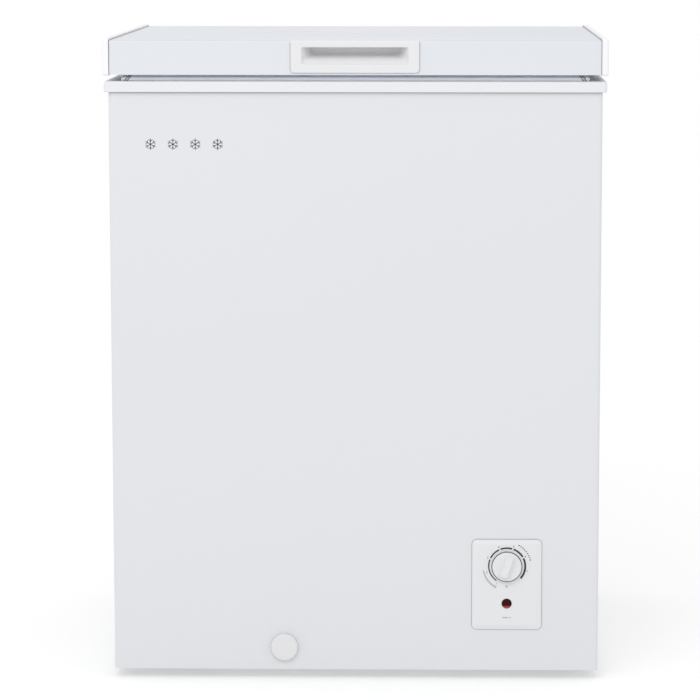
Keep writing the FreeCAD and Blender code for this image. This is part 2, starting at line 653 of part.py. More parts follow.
def feet():
    solids = []
    for x in FOOT_XS:
        for y in FOOT_YS:
            solids.append(Part.makeCone(15, 18, BODY_BOTTOM, V(x, y, 0)))
    return Part.makeCompound(solids)


# ---- lid ----
def handle_pocket(grow):
    """Finger space: it narrows inward and runs up behind the lip."""
    half = RECESS_W / 2 + grow
    low, high = RECESS_LOW - grow, RECESS_HIGH + grow
    front = rounded_wire(0, (low + high) / 2, 2 * half, high - low, 1.5 + grow, LID_FRONT_Y - 4)
    deep_low, deep_high = RECESS_LOW + 8 - grow, RECESS_HIGH + grow
    back = rounded_wire(0, (deep_low + deep_high) / 2, 2 * (half - 10), deep_high - deep_low, 1.5 + grow,
                        LID_FRONT_Y + RECESS_DEPTH + grow)
    return Part.makeLoft([front, back], True, True)


def lid_handle():
    bevel = [(LID_FRONT_Y, HANDLE_BOTTOM), (LID_FRONT_Y - 1.6, HANDLE_BOTTOM), (LID_FRONT_Y - 2.4, 779.6),
             (LID_FRONT_Y - 2.4, LID_TOP - 1), (LID_FRONT_Y - 1.4, LID_TOP), (LID_FRONT_Y, LID_TOP)]
    plate = profile_prism(bevel, -HANDLE_W / 2, HANDLE_W / 2)
    outline = block(-HANDLE_W / 2, HANDLE_W / 2, LID_FRONT_Y - 9, LID_FRONT_Y + 9, HANDLE_BOTTOM, LID_TOP)
    low_corners = [edge for edge in edges_along(outline, Y_AXIS)
                   if abs(edge.Vertexes[0].Point.z - HANDLE_BOTTOM) < 1e-6]
    plate = plate.common(outline.makeFillet(5, low_corners))
    shell = handle_pocket(1.8).common(block(-100, 100, LID_FRONT_Y, 0, 700, 900))
    return fused([plate, shell]).cut(handle_pocket(0))


def top_edges(lid_shape):
    """The two long upper edges of a piece of the lid."""
    return [edge for edge in edges_along(lid_shape, X_AXIS) if edge.Vertexes[0].Point.z > LID_TOP - 2]


def lid_skin():
    """Front, top and rear of the lid in one bent sheet, turned in along the bottom."""
    outer = block(-SKIN_X, SKIN_X, LID_FRONT_Y, REAR_Y, LID_BOTTOM, LID_TOP)
    outer = outer.makeFillet(2.4, top_edges(outer))
    inner = block(-SKIN_X - 1, SKIN_X + 1, LID_FRONT_Y + SHEET, REAR_Y - SHEET,
                  LID_BOTTOM + SHEET, LID_TOP - SHEET)
    inner = inner.makeFillet(1.6, top_edges(inner))
    mouth = block(-SKIN_X - 1, SKIN_X + 1, LINER_EDGE_Y0, LINER_EDGE_Y1, LID_BOTTOM - 1, LID_BOTTOM + 2)
    return outer.cut([inner, mouth, handle_window()] + screw_holes(ARM_SCREWS))


def handle_window():
    return block(-70, 70, LID_FRONT_Y - 1, LID_FRONT_Y + 2, RECESS_LOW - 4, RECESS_HIGH + 4)


def lid_plug(grow, top):
    return tank_offset(PLUG_S + grow, PLUG_BOTTOM - grow, top)


def lid_liner():
    """Inner panel of the lid with a shallow dish that reaches into the trim."""
    plate = block(-SKIN_X, SKIN_X, LINER_EDGE_Y0, LINER_EDGE_Y1, LID_BOTTOM, LID_BOTTOM + 1.5)
    dish = lid_plug(0, LID_BOTTOM + 1)
    return fused([plate, dish]).cut(lid_plug(-1.5, LID_BOTTOM + 9))


def lid_foam():
    foam = block(-SKIN_X, SKIN_X, LID_FRONT_Y + SHEET, REAR_Y - SHEET, LID_BOTTOM + 1.5, LID_TOP - SHEET)
    foam = foam.makeFillet(1.7, top_edges(foam))
    foam = fused([foam, lid_plug(-1.5, LID_BOTTOM + 5)])
    return foam.cut([handle_pocket(1.8), cap_rim(-1), cap_rim(1)] + screw_chases(ARM_SCREWS))


def cap_rim(side):
    """Rib of an end cap that slides inside the skin."""
    x0, x1 = sorted((side * (SKIN_X - 10), side * SKIN_X))
    outer = block(x0, x1, LID_FRONT_Y + SHEET + 0.1, REAR_Y - SHEET - 0.1,
                  LID_BOTTOM + 1.6, LID_TOP - SHEET - 0.1)
    outer = rounded(outer, X_AXIS, 1.8)
    inner = block(x0 - 1, x1 + 1, LID_FRONT_Y + 4, REAR_Y - 4, LID_BOTTOM + 4, LID_TOP - 4)
    return outer.cut(inner)


def lid_cap(side):
    x0, x1 = sorted((side * SKIN_X, side * LID_W / 2))
    plate = block(x0, x1, LID_FRONT_Y - 1.5, REAR_Y + 1.0, CAP_BOTTOM, CAP_TOP)
    plate = rounded(plate, X_AXIS, 3.5)
    plate = plate.makeFillet(2.6, edges_at(plate, X_AXIS, side * LID_W / 2))
    return fused([plate, cap_rim(side)])


def lid_gasket():
    """Hollow seal under the lid, mitred at its corners."""
    low = TRIM_TOP + 0.2
    wall = 3.0

    def frame(inset, z0, z1):
        side = TANK_X + GASKET_OUT - inset
        return block(-side, side, GASKET_FRONT + inset, TANK_REAR + GASKET_OUT - inset, z0, z1)

    ring = frame(0, low, LID_BOTTOM).cut(frame(GASKET_WIDTH, low - 1, LID_BOTTOM + 1))
    ring = ring.makeFillet(1.2, edges_at(ring, Z_AXIS, low))
    inner = frame(GASKET_WIDTH - wall, low, LID_BOTTOM + 2)
    return ring.cut(frame(wall, low + 2, LID_BOTTOM + 1).cut(inner))


# ---- hinges ----
def hinge_point(x, u, w):
    """A point u in front of the hinge axis and w above it."""
    return V(x, AXIS_Y - u, AXIS_Z + w)


def cam_face(x):
    """Outline of the cam, whose lower side lifts a flat plunger evenly as it turns."""
    shut, opened = -math.pi / 2, -math.pi / 2 - OPEN_ANGLE
    points = []
    steps = 8
    for i in range(steps + 1):
        normal = shut + (opened - shut) * i / steps
        reach = CAM_SHUT + CAM_RATE * (normal - shut)
        u = reach * math.cos(normal) - CAM_RATE * math.sin(normal)
        w = reach * math.sin(normal) + CAM_RATE * math.cos(normal)
        points.append(hinge_point(x, u, w))
    curve = Part.BSplineCurve()
    curve.interpolate(points)
    boss = CAM_SHUT - CAM_RATE * OPEN_ANGLE
    flat_end = hinge_point(x, boss * math.cos(opened), boss * math.sin(opened))
    boss_top = hinge_point(x, 0, boss)
    boss_back = hinge_point(x, boss * math.cos(math.radians(135)), boss * math.sin(math.radians(135)))
    front_top = hinge_point(x, 7, 12)
    front_low = hinge_point(x, 7, -12)
    edges = [curve.toShape(), Part.makeLine(points[-1], flat_end),
             Part.Arc(flat_end, boss_back, boss_top).toShape(), Part.makeLine(boss_top, front_top),
             Part.makeLine(front_top, front_low), Part.makeLine(front_low, points[0])]
    return Part.Face(Part.Wire(edges))


def hinge_arm(x):
    cam = cam_face(x - CAM_HALF).extrude(V(2 * CAM_HALF, 0, 0))
    plate = block(x - 20, x + 20, REAR_Y, REAR_Y + EAR_SHEET, AXIS_Z - 4, AXIS_Z + 34)
    plate = rounded(plate, Y_AXIS, 4)
    bore = rod(PIN_R + RUNNING, hinge_point(x - 40, 0, 0), hinge_point(x + 40, 0, 0))
    return fused([cam, plate]).cut([bore] + screw_holes(ARM_SCREWS))


def ear_outline():
    """Side of the bracket channel, from the spring seat up to the pin."""
    foot = Part.makePolygon([V(0, PANEL_OUT, 640), V(0, PANEL_OUT, 745), V(0, AXIS_Y - 6.5, 751),
                             V(0, AXIS_Y - 6.5, AXIS_Z)])
    crown = Part.Arc(V(0, AXIS_Y - 6.5, AXIS_Z), V(0, AXIS_Y, AXIS_Z + 6.5),
                     V(0, AXIS_Y + 6.5, AXIS_Z)).toShape()
    heel = Part.makePolygon([V(0, AXIS_Y + 6.5, AXIS_Z), V(0, AXIS_Y + 6.5, 763), V(0, OBJECT_REAR_Y, 758),
                             V(0, OBJECT_REAR_Y, 640), V(0, PANEL_OUT, 640)])
    return Part.Face(Part.Wire(foot.Edges + [crown] + heel.Edges))


def hinge_bracket(x):
    """Bent channel on the back panel that holds the spring, the plunger and the pin."""
    side = ear_outline().extrude(V(EAR_SHEET, 0, 0))
    left = side.translated(V(x - EAR_GAP - EAR_SHEET, 0, 0))
    right = side.translated(V(x + EAR_GAP, 0, 0))
    reach = EAR_GAP + EAR_SHEET
    back = block(x - reach, x + reach, OBJECT_REAR_Y - EAR_SHEET, OBJECT_REAR_Y, 640, 757)
    seat = block(x - reach, x + reach, PANEL_OUT, OBJECT_REAR_Y, 640, SPRING_SEAT)
    flange = rounded(block(x - 24, x + 24, PANEL_OUT, PANEL_OUT + EAR_SHEET, 650, 740), Y_AXIS, 5)
    flange = flange.cut(block(x - EAR_GAP, x + EAR_GAP, PANEL_OUT - 1, PANEL_OUT + 3, 600, 800))
    bore = rod(PIN_R, hinge_point(x - 40, 0, 0), hinge_point(x + 40, 0, 0))
    return fused([left, right, back, seat, flange]).cut([bore] + screw_holes(BRACKET_SCREWS))


def hinge_pins():
    pins = []
    reach = EAR_GAP + EAR_SHEET
    for x in HINGE_XS.values():
        shank = rod(PIN_R, hinge_point(x - reach - 1, 0, 0), hinge_point(x + reach + 1, 0, 0))
        heads = [rod(4.5, hinge_point(x + s * reach, 0, 0), hinge_point(x + s * (reach + 1.4), 0, 0))
                 for s in (-1, 1)]
        pins.append(fused([shank] + heads))
    return Part.makeCompound(pins)


def hinge_plunger(x):
    low = PLUNGER_TOP - PLUNGER_BLOCK
    head = block(x - 6.9, x + 6.9, PLUNGER_Y - 6.2, PLUNGER_Y + 6.2, low, PLUNGER_TOP)
    head = rounded(head, Z_AXIS, 1.5)
    stem = rod(3.2, V(x, PLUNGER_Y, low - 26), V(x, PLUNGER_Y, low + 2))
    return fused([head, stem])


def hinge_spring(x):
    """Compression spring between the seat and the plunger."""
    low = SPRING_SEAT + SPRING_WIRE_R
    height = PLUNGER_TOP - PLUNGER_BLOCK - 0.3 - SPRING_WIRE_R - low
    helix = Part.makeHelix(height / SPRING_TURNS, height, SPRING_MEAN_R)
    profile = Part.Wire(Part.makeCircle(SPRING_WIRE_R, V(SPRING_MEAN_R, 0, 0), Y_AXIS))
    coil = Part.Wire(helix.Edges).makePipeShell([profile], True, True)
    return coil.translated(V(x, PLUNGER_Y, low))


# ---- basket ----
def basket_side_x(z):
    """Half width of the basket at height z."""
    share = (z - BASKET_FLOOR_Z) / (BASKET_RIM_Z - BASKET_FLOOR_Z)
    return BASKET_FOOT_HALF + (BASKET_HALF - BASKET_FOOT_HALF) * share


def basket_inset_y(z):
    """How far the front and rear grids have moved in at height z."""
    share = (BASKET_RIM_Z - z) / (BASKET_RIM_Z - BASKET_FLOOR_Z)
    return BASKET_TAPER_Y * share


def spread(first, last, count):
    return [first + (last - first) * i / (count - 1) for i in range(count)]


def basket_rim():
    """Top wire loop and two hangers that rest on the trim's ledge."""
    half, z, bend = BASKET_HALF + 3.9, BASKET_RIM_Z, 12.0
    front, rear = BASKET_FRONT - 3.8, BASKET_REAR + 3.8
    corners = [V(BASKET_X - half, 0, z), V(BASKET_X - half, front, z), V(BASKET_X + half, front, z),
               V(BASKET_X + half, rear, z), V(BASKET_X - half, rear, z), V(BASKET_X - half, 0, z)]
    loop = bent_tube(corners, bend, RIM_WIRE)
    solids = [loop]
    for edge, out in ((front, -1), (rear, 1)):
        inner = edge - out * 2
        hook = edge + out * 12
        route = [V(BASKET_X - 90, inner, z - 20), V(BASKET_X - 90, inner, HANGER_Z),
                 V(BASKET_X - 90, hook, HANGER_Z), V(BASKET_X + 90, hook, HANGER_Z),
                 V(BASKET_X + 90, inner, HANGER_Z), V(BASKET_X + 90, inner, z - 20)]
        solids.append(bent_tube(route, 5, RIM_WIRE))
    return fused(solids)


def basket_floor():
    z = BASKET_FLOOR_Z
    along = [rod(MESH_WIRE, V(BASKET_X + x, BASKET_FRONT + BASKET_TAPER_Y + 2, z - 2.6),
                 V(BASKET_X + x, BASKET_REAR - BASKET_TAPER_Y - 2, z - 2.6))
             for x in spread(-BASKET_FOOT_HALF + 6, BASKET_FOOT_HALF - 6, 5)]
    half = BASKET_FOOT_HALF - 3
    across = [rod(MESH_WIRE, V(BASKET_X - half, y, z), V(BASKET_X + half, y, z)) for y in basket_rows()]
    return fused(along + across)


def basket_rows():
    return spread(BASKET_FRONT + BASKET_TAPER_Y + 8, BASKET_REAR - BASKET_TAPER_Y - 8, 12)


def basket_end(side):
    """Sloping grid at the left or right of the basket."""
    low, high = BASKET_FLOOR_Z, BASKET_RIM_Z
    bars = [rod(MESH_WIRE, V(BASKET_X + side * basket_side_x(low), y, low),
                V(BASKET_X + side * basket_side_x(high), y, high)) for y in basket_rows()]
    for z in (low + 55, low + 115):
        x = BASKET_X + side * (basket_side_x(z) + 2.6)
        inset = basket_inset_y(z)
        bars.append(rod(MESH_WIRE, V(x, BASKET_FRONT + inset, z), V(x, BASKET_REAR - inset, z)))
    return fused(bars)


def basket_face(y_sign):
    """Sloping grid at the front or rear of the basket."""
    low, high = BASKET_FLOOR_Z, BASKET_RIM_Z
    edge = BASKET_REAR if y_sign > 0 else BASKET_FRONT

    def depth(z):
        return edge - y_sign * basket_inset_y(z)

    bars = [rod(MESH_WIRE, V(BASKET_X + x, depth(low), low - 2.6), V(BASKET_X + x, depth(high), high))
            for x in spread(-BASKET_FOOT_HALF + 6, BASKET_FOOT_HALF - 6, 5)]
    for z in (low + 55, low + 115):
        y = depth(z) - y_sign * 2.6
        half = basket_side_x(z) - 1.5
        bars.append(rod(MESH_WIRE, V(BASKET_X - half, y, z), V(BASKET_X + half, y, z)))
    return fused(bars)


def screws(places, head_r, length):
    return Part.makeCompound([pan_screw(place, -Y_AXIS, 2.0, length, head_r, 2.2) for place in places])


# ---- build ----
can = compressor()
cover = terminal_cover(can)
save("outer_shell", outer_shell())
save("back_panel", back_panel())
save("base_panel", base_panel())
save("compressor_tray", compressor_tray())
save("compressor_bay_wall", compressor_bay_wall())
save("cabinet_foam", cabinet_foam())
save("tank_liner", tank_liner())
save("top_trim", top_trim())
save("evaporator_coil", evaporator_coil())
save("condenser_coil", condenser_coil())
save("condenser_return", condenser_return())
save("compressor", can)
save("compressor_base_plate", compressor_base_plate())
save("compressor_grommets", compressor_grommets())
save("compressor_bolts", compressor_bolts())
save("terminal_cover", cover)
save("filter_drier", filter_drier())
save("capillary_tube", capillary_tube())
save("suction_tube", suction_tube(can))
save("discharge_tube", discharge_tube(can))
save("thermostat_body", thermostat_body())
save("thermostat_sensor", thermostat_sensor())
save("thermostat_shaft", thermostat_shaft())
save("thermostat_knob", thermostat_knob())
save("control_panel", control_panel())
save("indicator_lens", indicator_lens())
save("indicator_lamp", indicator_lamp())
save("wire_harness", wire_harness(cover))
save("rear_cover", rear_cover())
save("rear_cover_screws", screws(COVER_SCREWS, 3.8, 8))
save("cord_gland", cord_gland())
save("drain_spout", drain_spout())
save("drain_tube", drain_tube())
save("drain_cap", drain_cap())
save("drain_plug", drain_plug())
save("feet", feet())
save("lid_skin", lid_skin())
save("lid_foam", lid_foam())
save("lid_liner", lid_liner())
save("lid_gasket", lid_gasket())
save("lid_cap_left", lid_cap(-1))
save("lid_cap_right", lid_cap(1))
save("lid_handle", lid_handle())
for name, x in HINGE_XS.items():
    save("hinge_arm_" + name, hinge_arm(x))
    save("hinge_bracket_" + name, hinge_bracket(x))
    save("hinge_plunger_" + name, hinge_plunger(x))
    save("hinge_spring_" + name, hinge_spring(x))
save("hinge_pins", hinge_pins())
save("hinge_bracket_screws", screws(BRACKET_SCREWS, 3.8, 12))
save("hinge_arm_screws", screws(ARM_SCREWS, 3.6, 12))
save("basket_rim", basket_rim())
save("basket_floor", basket_floor())
save("basket_left", basket_end(-1))
save("basket_right", basket_end(1))
save("basket_front", basket_face(-1))
save("basket_rear", basket_face(1))
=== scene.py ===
import json
import math
import random

import bmesh
import bpy
from mathutils import Matrix, Vector


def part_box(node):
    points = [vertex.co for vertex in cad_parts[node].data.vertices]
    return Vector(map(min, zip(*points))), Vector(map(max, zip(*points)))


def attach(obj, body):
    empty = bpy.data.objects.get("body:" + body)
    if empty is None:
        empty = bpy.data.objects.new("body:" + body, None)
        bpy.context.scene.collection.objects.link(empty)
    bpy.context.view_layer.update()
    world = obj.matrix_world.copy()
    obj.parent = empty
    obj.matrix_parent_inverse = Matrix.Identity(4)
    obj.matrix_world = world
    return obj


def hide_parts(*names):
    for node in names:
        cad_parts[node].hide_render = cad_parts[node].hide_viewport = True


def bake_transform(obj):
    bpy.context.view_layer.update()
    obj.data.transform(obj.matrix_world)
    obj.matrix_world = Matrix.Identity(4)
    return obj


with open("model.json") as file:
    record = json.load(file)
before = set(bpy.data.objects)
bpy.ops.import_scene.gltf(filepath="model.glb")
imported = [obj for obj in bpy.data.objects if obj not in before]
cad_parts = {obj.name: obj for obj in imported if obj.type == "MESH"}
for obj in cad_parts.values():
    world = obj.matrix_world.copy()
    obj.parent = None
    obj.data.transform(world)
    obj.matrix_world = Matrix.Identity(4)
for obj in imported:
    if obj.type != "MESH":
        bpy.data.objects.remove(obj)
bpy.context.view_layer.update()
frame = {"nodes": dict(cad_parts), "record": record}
MM = 0.001
SEGMENTS = 48
CORNER_STEPS = 8


def low(node):
    """The low corner of a CAD node's box."""
    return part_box(node)[0]


def high(node):
    """The high corner of a CAD node's box."""
    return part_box(node)[1]


def smooth(value):
    """Eases from 0 to 1 as value goes from 0 to 1."""
    value = min(max(value, 0.0), 1.0)
    return value * value * (3 - 2 * value)


# ---- materials ----
# Most values of a noise texture lie between these two.
NOISE_LOW, NOISE_HIGH = 0.2, 0.8


class Finish:
    """One procedural material on a Principled shader, in object coordinates (metres)."""

    def __init__(self, name, colour, rough, metallic=0.0, ior=1.46):
        self.material = bpy.data.materials.new(name)
        self.material.use_nodes = True
        self.nodes = self.material.node_tree.nodes
        self.links = self.material.node_tree.links
        self.shader = self.nodes["Principled BSDF"]
        self.shader.inputs["Base Color"].default_value = (*colour, 1)
        self.shader.inputs["Roughness"].default_value = rough
        self.shader.inputs["Metallic"].default_value = metallic
        self.shader.inputs["IOR"].default_value = ior
        self.colour = colour
        self.place = self.nodes.new("ShaderNodeTexCoord").outputs["Object"]
        self.relief = None

    def put(self, socket, value):
        """Sets one shader input to a uniform value."""
        self.shader.inputs[socket].default_value = value
        return self

    def noise(self, scale, detail=3.0, stretch=(1, 1, 1)):
        """Noise in object space, drawn out along an axis whose stretch is under 1."""
        mapping = self.nodes.new("ShaderNodeMapping")
        mapping.inputs["Scale"].default_value = stretch
        self.links.new(self.place, mapping.inputs["Vector"])
        texture = self.nodes.new("ShaderNodeTexNoise")
        texture.inputs["Scale"].default_value = scale
        texture.inputs["Detail"].default_value = detail
        self.links.new(mapping.outputs["Vector"], texture.inputs["Vector"])
        return texture.outputs["Fac"]

    def cells(self, scale, output="Distance"):
        """Irregular cells in object space: the distance to a cell's seed, or its own colour."""
        texture = self.nodes.new("ShaderNodeTexVoronoi")
        texture.inputs["Scale"].default_value = scale
        self.links.new(self.place, texture.inputs["Vector"])
        return texture.outputs[output]

    def ramp(self, source, start, end, first, last):
        """Maps source between start and end onto two colours."""
        node = self.nodes.new("ShaderNodeValToRGB")
        node.color_ramp.elements[0].position = start
        node.color_ramp.elements[1].position = end
        node.color_ramp.elements[0].color = (*first, 1)
        node.color_ramp.elements[1].color = (*last, 1)
        self.links.new(source, node.inputs["Fac"])
        return node.outputs["Color"]

    def mottle(self, scale, spread, detail=4.0):
        """Colour that wanders by spread either side of the base colour."""
        dark = tuple(c * (1 - spread) for c in self.colour)
        light = tuple(min(1.0, c * (1 + spread)) for c in self.colour)
        colour = self.ramp(self.noise(scale, detail), NOISE_LOW, NOISE_HIGH, dark, light)
        self.links.new(colour, self.shader.inputs["Base Color"])
        return self

    def roughness(self, scale, glossy, dull, detail=3.0):
        """Roughness that wanders between glossy and dull."""
        span = self.nodes.new("ShaderNodeMapRange")
        span.inputs["From Min"].default_value = NOISE_LOW
        span.inputs["From Max"].default_value = NOISE_HIGH
        span.inputs["To Min"].default_value = glossy
        span.inputs["To Max"].default_value = dull
        self.links.new(self.noise(scale, detail), span.inputs["Value"])
        self.links.new(span.outputs["Result"], self.shader.inputs["Roughness"])
        return self

    def dusted(self, top_shade_tint):
        """Multiplies the base colour by the given tint on faces that point up: painted shade that makes
        tops darker and bluer than the sides.
        """
        base = self.shader.inputs["Base Color"].links[0].from_socket
        split = self.nodes.new("ShaderNodeSeparateXYZ")
        self.links.new(self.nodes.new("ShaderNodeTexCoord").outputs["Normal"], split.inputs["Vector"])
        top_shade = self.ramp(split.outputs["Z"], 0.55, 0.95, (1, 1, 1), top_shade_tint)
        mix = self.nodes.new("ShaderNodeMix")
        mix.data_type = "RGBA"
        mix.blend_type = "MULTIPLY"
        mix.inputs["Factor"].default_value = 1.0
        self.links.new(base, mix.inputs["A"])
        self.links.new(top_shade, mix.inputs["B"])
        self.links.new(mix.outputs["Result"], self.shader.inputs["Base Color"])
        return self

    def bump(self, source, depth, strength):
        """Adds relief; several calls stack."""
        node = self.nodes.new("ShaderNodeBump")
        node.inputs["Distance"].default_value = depth
        node.inputs["Strength"].default_value = strength
        self.links.new(source, node.inputs["Height"])
        if self.relief:
            self.links.new(self.relief, node.inputs["Normal"])
        self.relief = node.outputs["Normal"]
        self.links.new(self.relief, self.shader.inputs["Normal"])
        return self


# Tint for faces that point up: painted shade that makes tops darker than fronts.
TOP_SHADE_TINT = (0.86, 0.873, 0.905)


def powder_paint(name, colour, rough=0.3):
    """Stoved white paint: faint orange peel, a slow drift of gloss, and painted shade that darkens its top
    faces.
    """
    finish = Finish(name, colour, rough)
    finish.mottle(1.6, 0.006, detail=1.0).roughness(3.0, rough - 0.03, rough + 0.05, detail=1.0)
    finish.bump(finish.noise(900, 1.0), 0.00001, 0.25)
    finish.put("Specular IOR Level", 0.22)
    # Painted shade: top faces darker and bluer than the sides.
    finish.dusted(TOP_SHADE_TINT)
    return finish.material


def moulded(name, colour, rough=0.4, grain=900, depth=0.00002):
    """Injection-moulded plastic: fine spark-eroded grain, slight mottling, soft body."""
    finish = Finish(name, colour, rough)
    finish.mottle(9, 0.012).roughness(60, rough - 0.05, rough + 0.07)
    finish.bump(finish.noise(grain, 2.0), depth, 0.6)
    finish.put("Subsurface Weight", 0.04).put("Subsurface Radius", (0.004, 0.004, 0.004))
    return finish.material


def rubber(name, colour, rough=0.7, relief=0.00005, spread=0.08):
    """Matt extruded rubber, blotched by spread."""
    finish = Finish(name, colour, rough)
    finish.mottle(30, spread).roughness(80, rough - 0.12, min(1.0, rough + 0.1))
    finish.bump(finish.noise(700, 3.0), relief, 0.6)
    finish.put("Sheen Weight", 0.1)
    return finish.material


def zinc_plate(name, colour, rough=0.38):
    """Zinc plating with a faint spangle and drawn-out scratches."""
    finish = Finish(name, colour, rough, metallic=1.0)
    finish.mottle(40, 0.12).roughness(25, rough - 0.1, rough + 0.12)
    finish.bump(finish.noise(350, 4.0, (1, 1, 0.06)), 0.00003, 0.4)
    return finish.material


def spangled(name, colour):
    """Hot-dip galvanised sheet: large crystal cells, each with its own tone and gloss."""
    finish = Finish(name, colour, 0.42, metallic=0.9)
    dark = tuple(c * 0.8 for c in colour)
    light = tuple(min(1.0, c * 1.15) for c in colour)
    cells = finish.cells(70, output="Color")
    tone = finish.ramp(cells, 0.1, 0.9, dark, light)
    finish.links.new(tone, finish.shader.inputs["Base Color"])
    finish.roughness(90, 0.32, 0.52)
    finish.bump(finish.noise(300, 3.0), 0.00003, 0.3)
    return finish.material


def stucco_aluminium(name, colour):
    """Embossed liner sheet: small irregular dimples, bright but diffuse."""
    finish = Finish(name, colour, 0.34, metallic=0.75)
    finish.mottle(5, 0.03).roughness(40, 0.28, 0.44)
    finish.bump(finish.cells(260), 0.0007, 0.55)
    finish.bump(finish.noise(900, 2.0), 0.00003, 0.3)
    return finish.material


def copper(name, colour):
    """Drawn copper with patches of dull brown oxide."""
    finish = Finish(name, colour, 0.3, metallic=1.0)
    patches = finish.ramp(finish.noise(55, 5.0), 0.4, 0.7, colour, (0.30, 0.16, 0.10))
    finish.links.new(patches, finish.shader.inputs["Base Color"])
    finish.roughness(70, 0.24, 0.5)
    finish.bump(finish.noise(500, 3.0), 0.00003, 0.4)
    return finish.material


def enamel(name, colour):
    """Sprayed black enamel with runs of dust in it."""
    finish = Finish(name, colour, 0.32)
    finish.mottle(80, 0.5, detail=6.0).roughness(45, 0.22, 0.5)
    finish.bump(finish.noise(260, 4.0), 0.00012, 0.5)
    return finish.material


def coated_wire(name, colour):
    """White dip-coated wire: glossy, a little uneven where the coating pooled."""
    finish = Finish(name, colour, 0.22)
    finish.mottle(60, 0.02).roughness(50, 0.16, 0.32)
    finish.bump(finish.noise(180, 2.0), 0.0002, 0.35)
    finish.put("Coat Weight", 0.3)
    return finish.material


def rigid_foam(name, colour):
    """Poured foam with an open, pitted face."""
    finish = Finish(name, colour, 0.9)
    finish.mottle(120, 0.12)
    finish.bump(finish.cells(600), 0.0005, 0.7)
    return finish.material


def lamp_lens(name, colour):
    """Unlit red lens: nearly black in the middle, with a painted glint of red light along its lower edge.
    """
    finish = Finish(name, colour, 0.25)
    span = finish.nodes.new("ShaderNodeMapRange")
    span.inputs["From Min"].default_value = low("indicator_lens").z
    span.inputs["From Max"].default_value = high("indicator_lens").z
    split = finish.nodes.new("ShaderNodeSeparateXYZ")
    finish.links.new(finish.place, split.inputs["Vector"])
    finish.links.new(split.outputs["Z"], span.inputs["Value"])
    # Painted glint: bright red along the lens's lower edge, fading to the dark lens colour a third of the
    # way up.
    painted_glint = finish.ramp(span.outputs["Result"], 0.12, 0.34, (0.38, 0.07, 0.08), colour)
    finish.links.new(painted_glint, finish.shader.inputs["Base Color"])
    finish.bump(finish.noise(300, 2.0), 0.00005, 0.3)
    finish.put("Specular IOR Level", 0.12)
    return finish.material


def ink(name, colour):
    """Pad-printed ink, slightly thin in places."""
    finish = Finish(name, colour, 0.45)
    finish.mottle(700, 0.25, detail=5.0)
    finish.bump(finish.noise(1200, 2.0), 0.00001, 0.5)
    return finish.material


FINISHES = {
    "cabinet_paint": powder_paint("cabinet_paint", (0.660, 0.672, 0.693)),
    "lid_paint": powder_paint("lid_paint", (0.655, 0.672, 0.70), 0.26),
    "back_sheet": powder_paint("back_sheet", (0.66, 0.67, 0.68), 0.45),
    "galvanised_sheet": spangled("galvanised_sheet", (0.55, 0.57, 0.58)),
    "insulation_foam": rigid_foam("insulation_foam", (0.80, 0.68, 0.40)),
    "embossed_aluminium": stucco_aluminium("embossed_aluminium", (0.80, 0.81, 0.82)),
    "trim_plastic": moulded("trim_plastic", (0.70, 0.705, 0.728), 0.34),
    "cap_plastic": moulded("cap_plastic", (0.79, 0.79, 0.80), 0.34),
    "handle_plastic": moulded("handle_plastic", (0.69, 0.69, 0.70), 0.36),
    "liner_plastic": moulded("liner_plastic", (0.80, 0.80, 0.79), 0.3, 500, 0.00004),
    "panel_plastic": moulded("panel_plastic", (0.695, 0.697, 0.705), 0.5, 1100),
    "knob_plastic": moulded("knob_plastic", (0.69, 0.692, 0.70), 0.42),
    "drain_plastic": moulded("drain_plastic", (0.68, 0.68, 0.685), 0.45),
    "gasket_rubber": rubber("gasket_rubber", (0.76, 0.80, 0.86), 0.6, 0.00001, 0.02),
    "black_rubber": rubber("black_rubber", (0.025, 0.025, 0.025), 0.8),
    "grey_rubber": rubber("grey_rubber", (0.35, 0.36, 0.37)),
    "aluminium_tube": zinc_plate("aluminium_tube", (0.75, 0.76, 0.77), 0.35),
    "copper_tube": copper("copper_tube", (0.78, 0.42, 0.28)),
    "coated_tube": copper("coated_tube", (0.34, 0.26, 0.20)),
    "compressor_paint": enamel("compressor_paint", (0.018, 0.018, 0.019)),
    "black_plastic": moulded("black_plastic", (0.025, 0.025, 0.027), 0.5),
    "zinc_steel": zinc_plate("zinc_steel", (0.62, 0.63, 0.64)),
    "spring_steel": zinc_plate("spring_steel", (0.30, 0.30, 0.31), 0.3),
    "plunger_plastic": moulded("plunger_plastic", (0.80, 0.77, 0.68), 0.4),
    "lamp_red": lamp_lens("lamp_red", (0.03, 0.002, 0.004)),
    "foot_plastic": moulded("foot_plastic", (0.03, 0.03, 0.03), 0.6),
    "basket_wire": coated_wire("basket_wire", (0.84, 0.85, 0.86)),
}
INK = ink("dial_ink", (0.012, 0.012, 0.013))
GREY_INK = ink("grey_ink", (0.28, 0.28, 0.29))
# Dark strips laid along joints and creases: painted shade where the gaps fall dark.
JOINT_SHADE = rubber("painted_joint_shade", (0.36, 0.37, 0.39))
DEEP_JOINT_SHADE = rubber("painted_deep_joint_shade", (0.09, 0.095, 0.11))


def paint_cad_nodes():
    """Gives every carried-over CAD node the finish of its material slot."""
    slots = {entry["node"]: entry["material_slot"] for entry in frame["record"]["subparts"]}
    for node, obj in frame["nodes"].items():
        obj.data.materials.clear()
        obj.data.materials.append(FINISHES[slots[node]])


# ---- mesh helpers ----
STRIP_LIFT = 0.25 * MM


def piece(name, bm, body, slot=None, finish=None, replaces=(), smooth_angle=35):
    """Turns a bmesh into an object that rides on body."""
    bmesh.ops.recalc_face_normals(bm, faces=bm.faces[:])
    mesh = bpy.data.meshes.new(name)
    bm.to_mesh(mesh)
    bm.free()
    obj = bpy.data.objects.new(name, mesh)
    bpy.context.scene.collection.objects.link(obj)
    mesh.materials.append(finish or FINISHES[slot])
    mesh.shade_smooth()
    mesh.set_sharp_from_angle(angle=math.radians(smooth_angle))
    if body:
        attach(obj, body)
    if replaces:
        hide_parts(*replaces)
    return obj


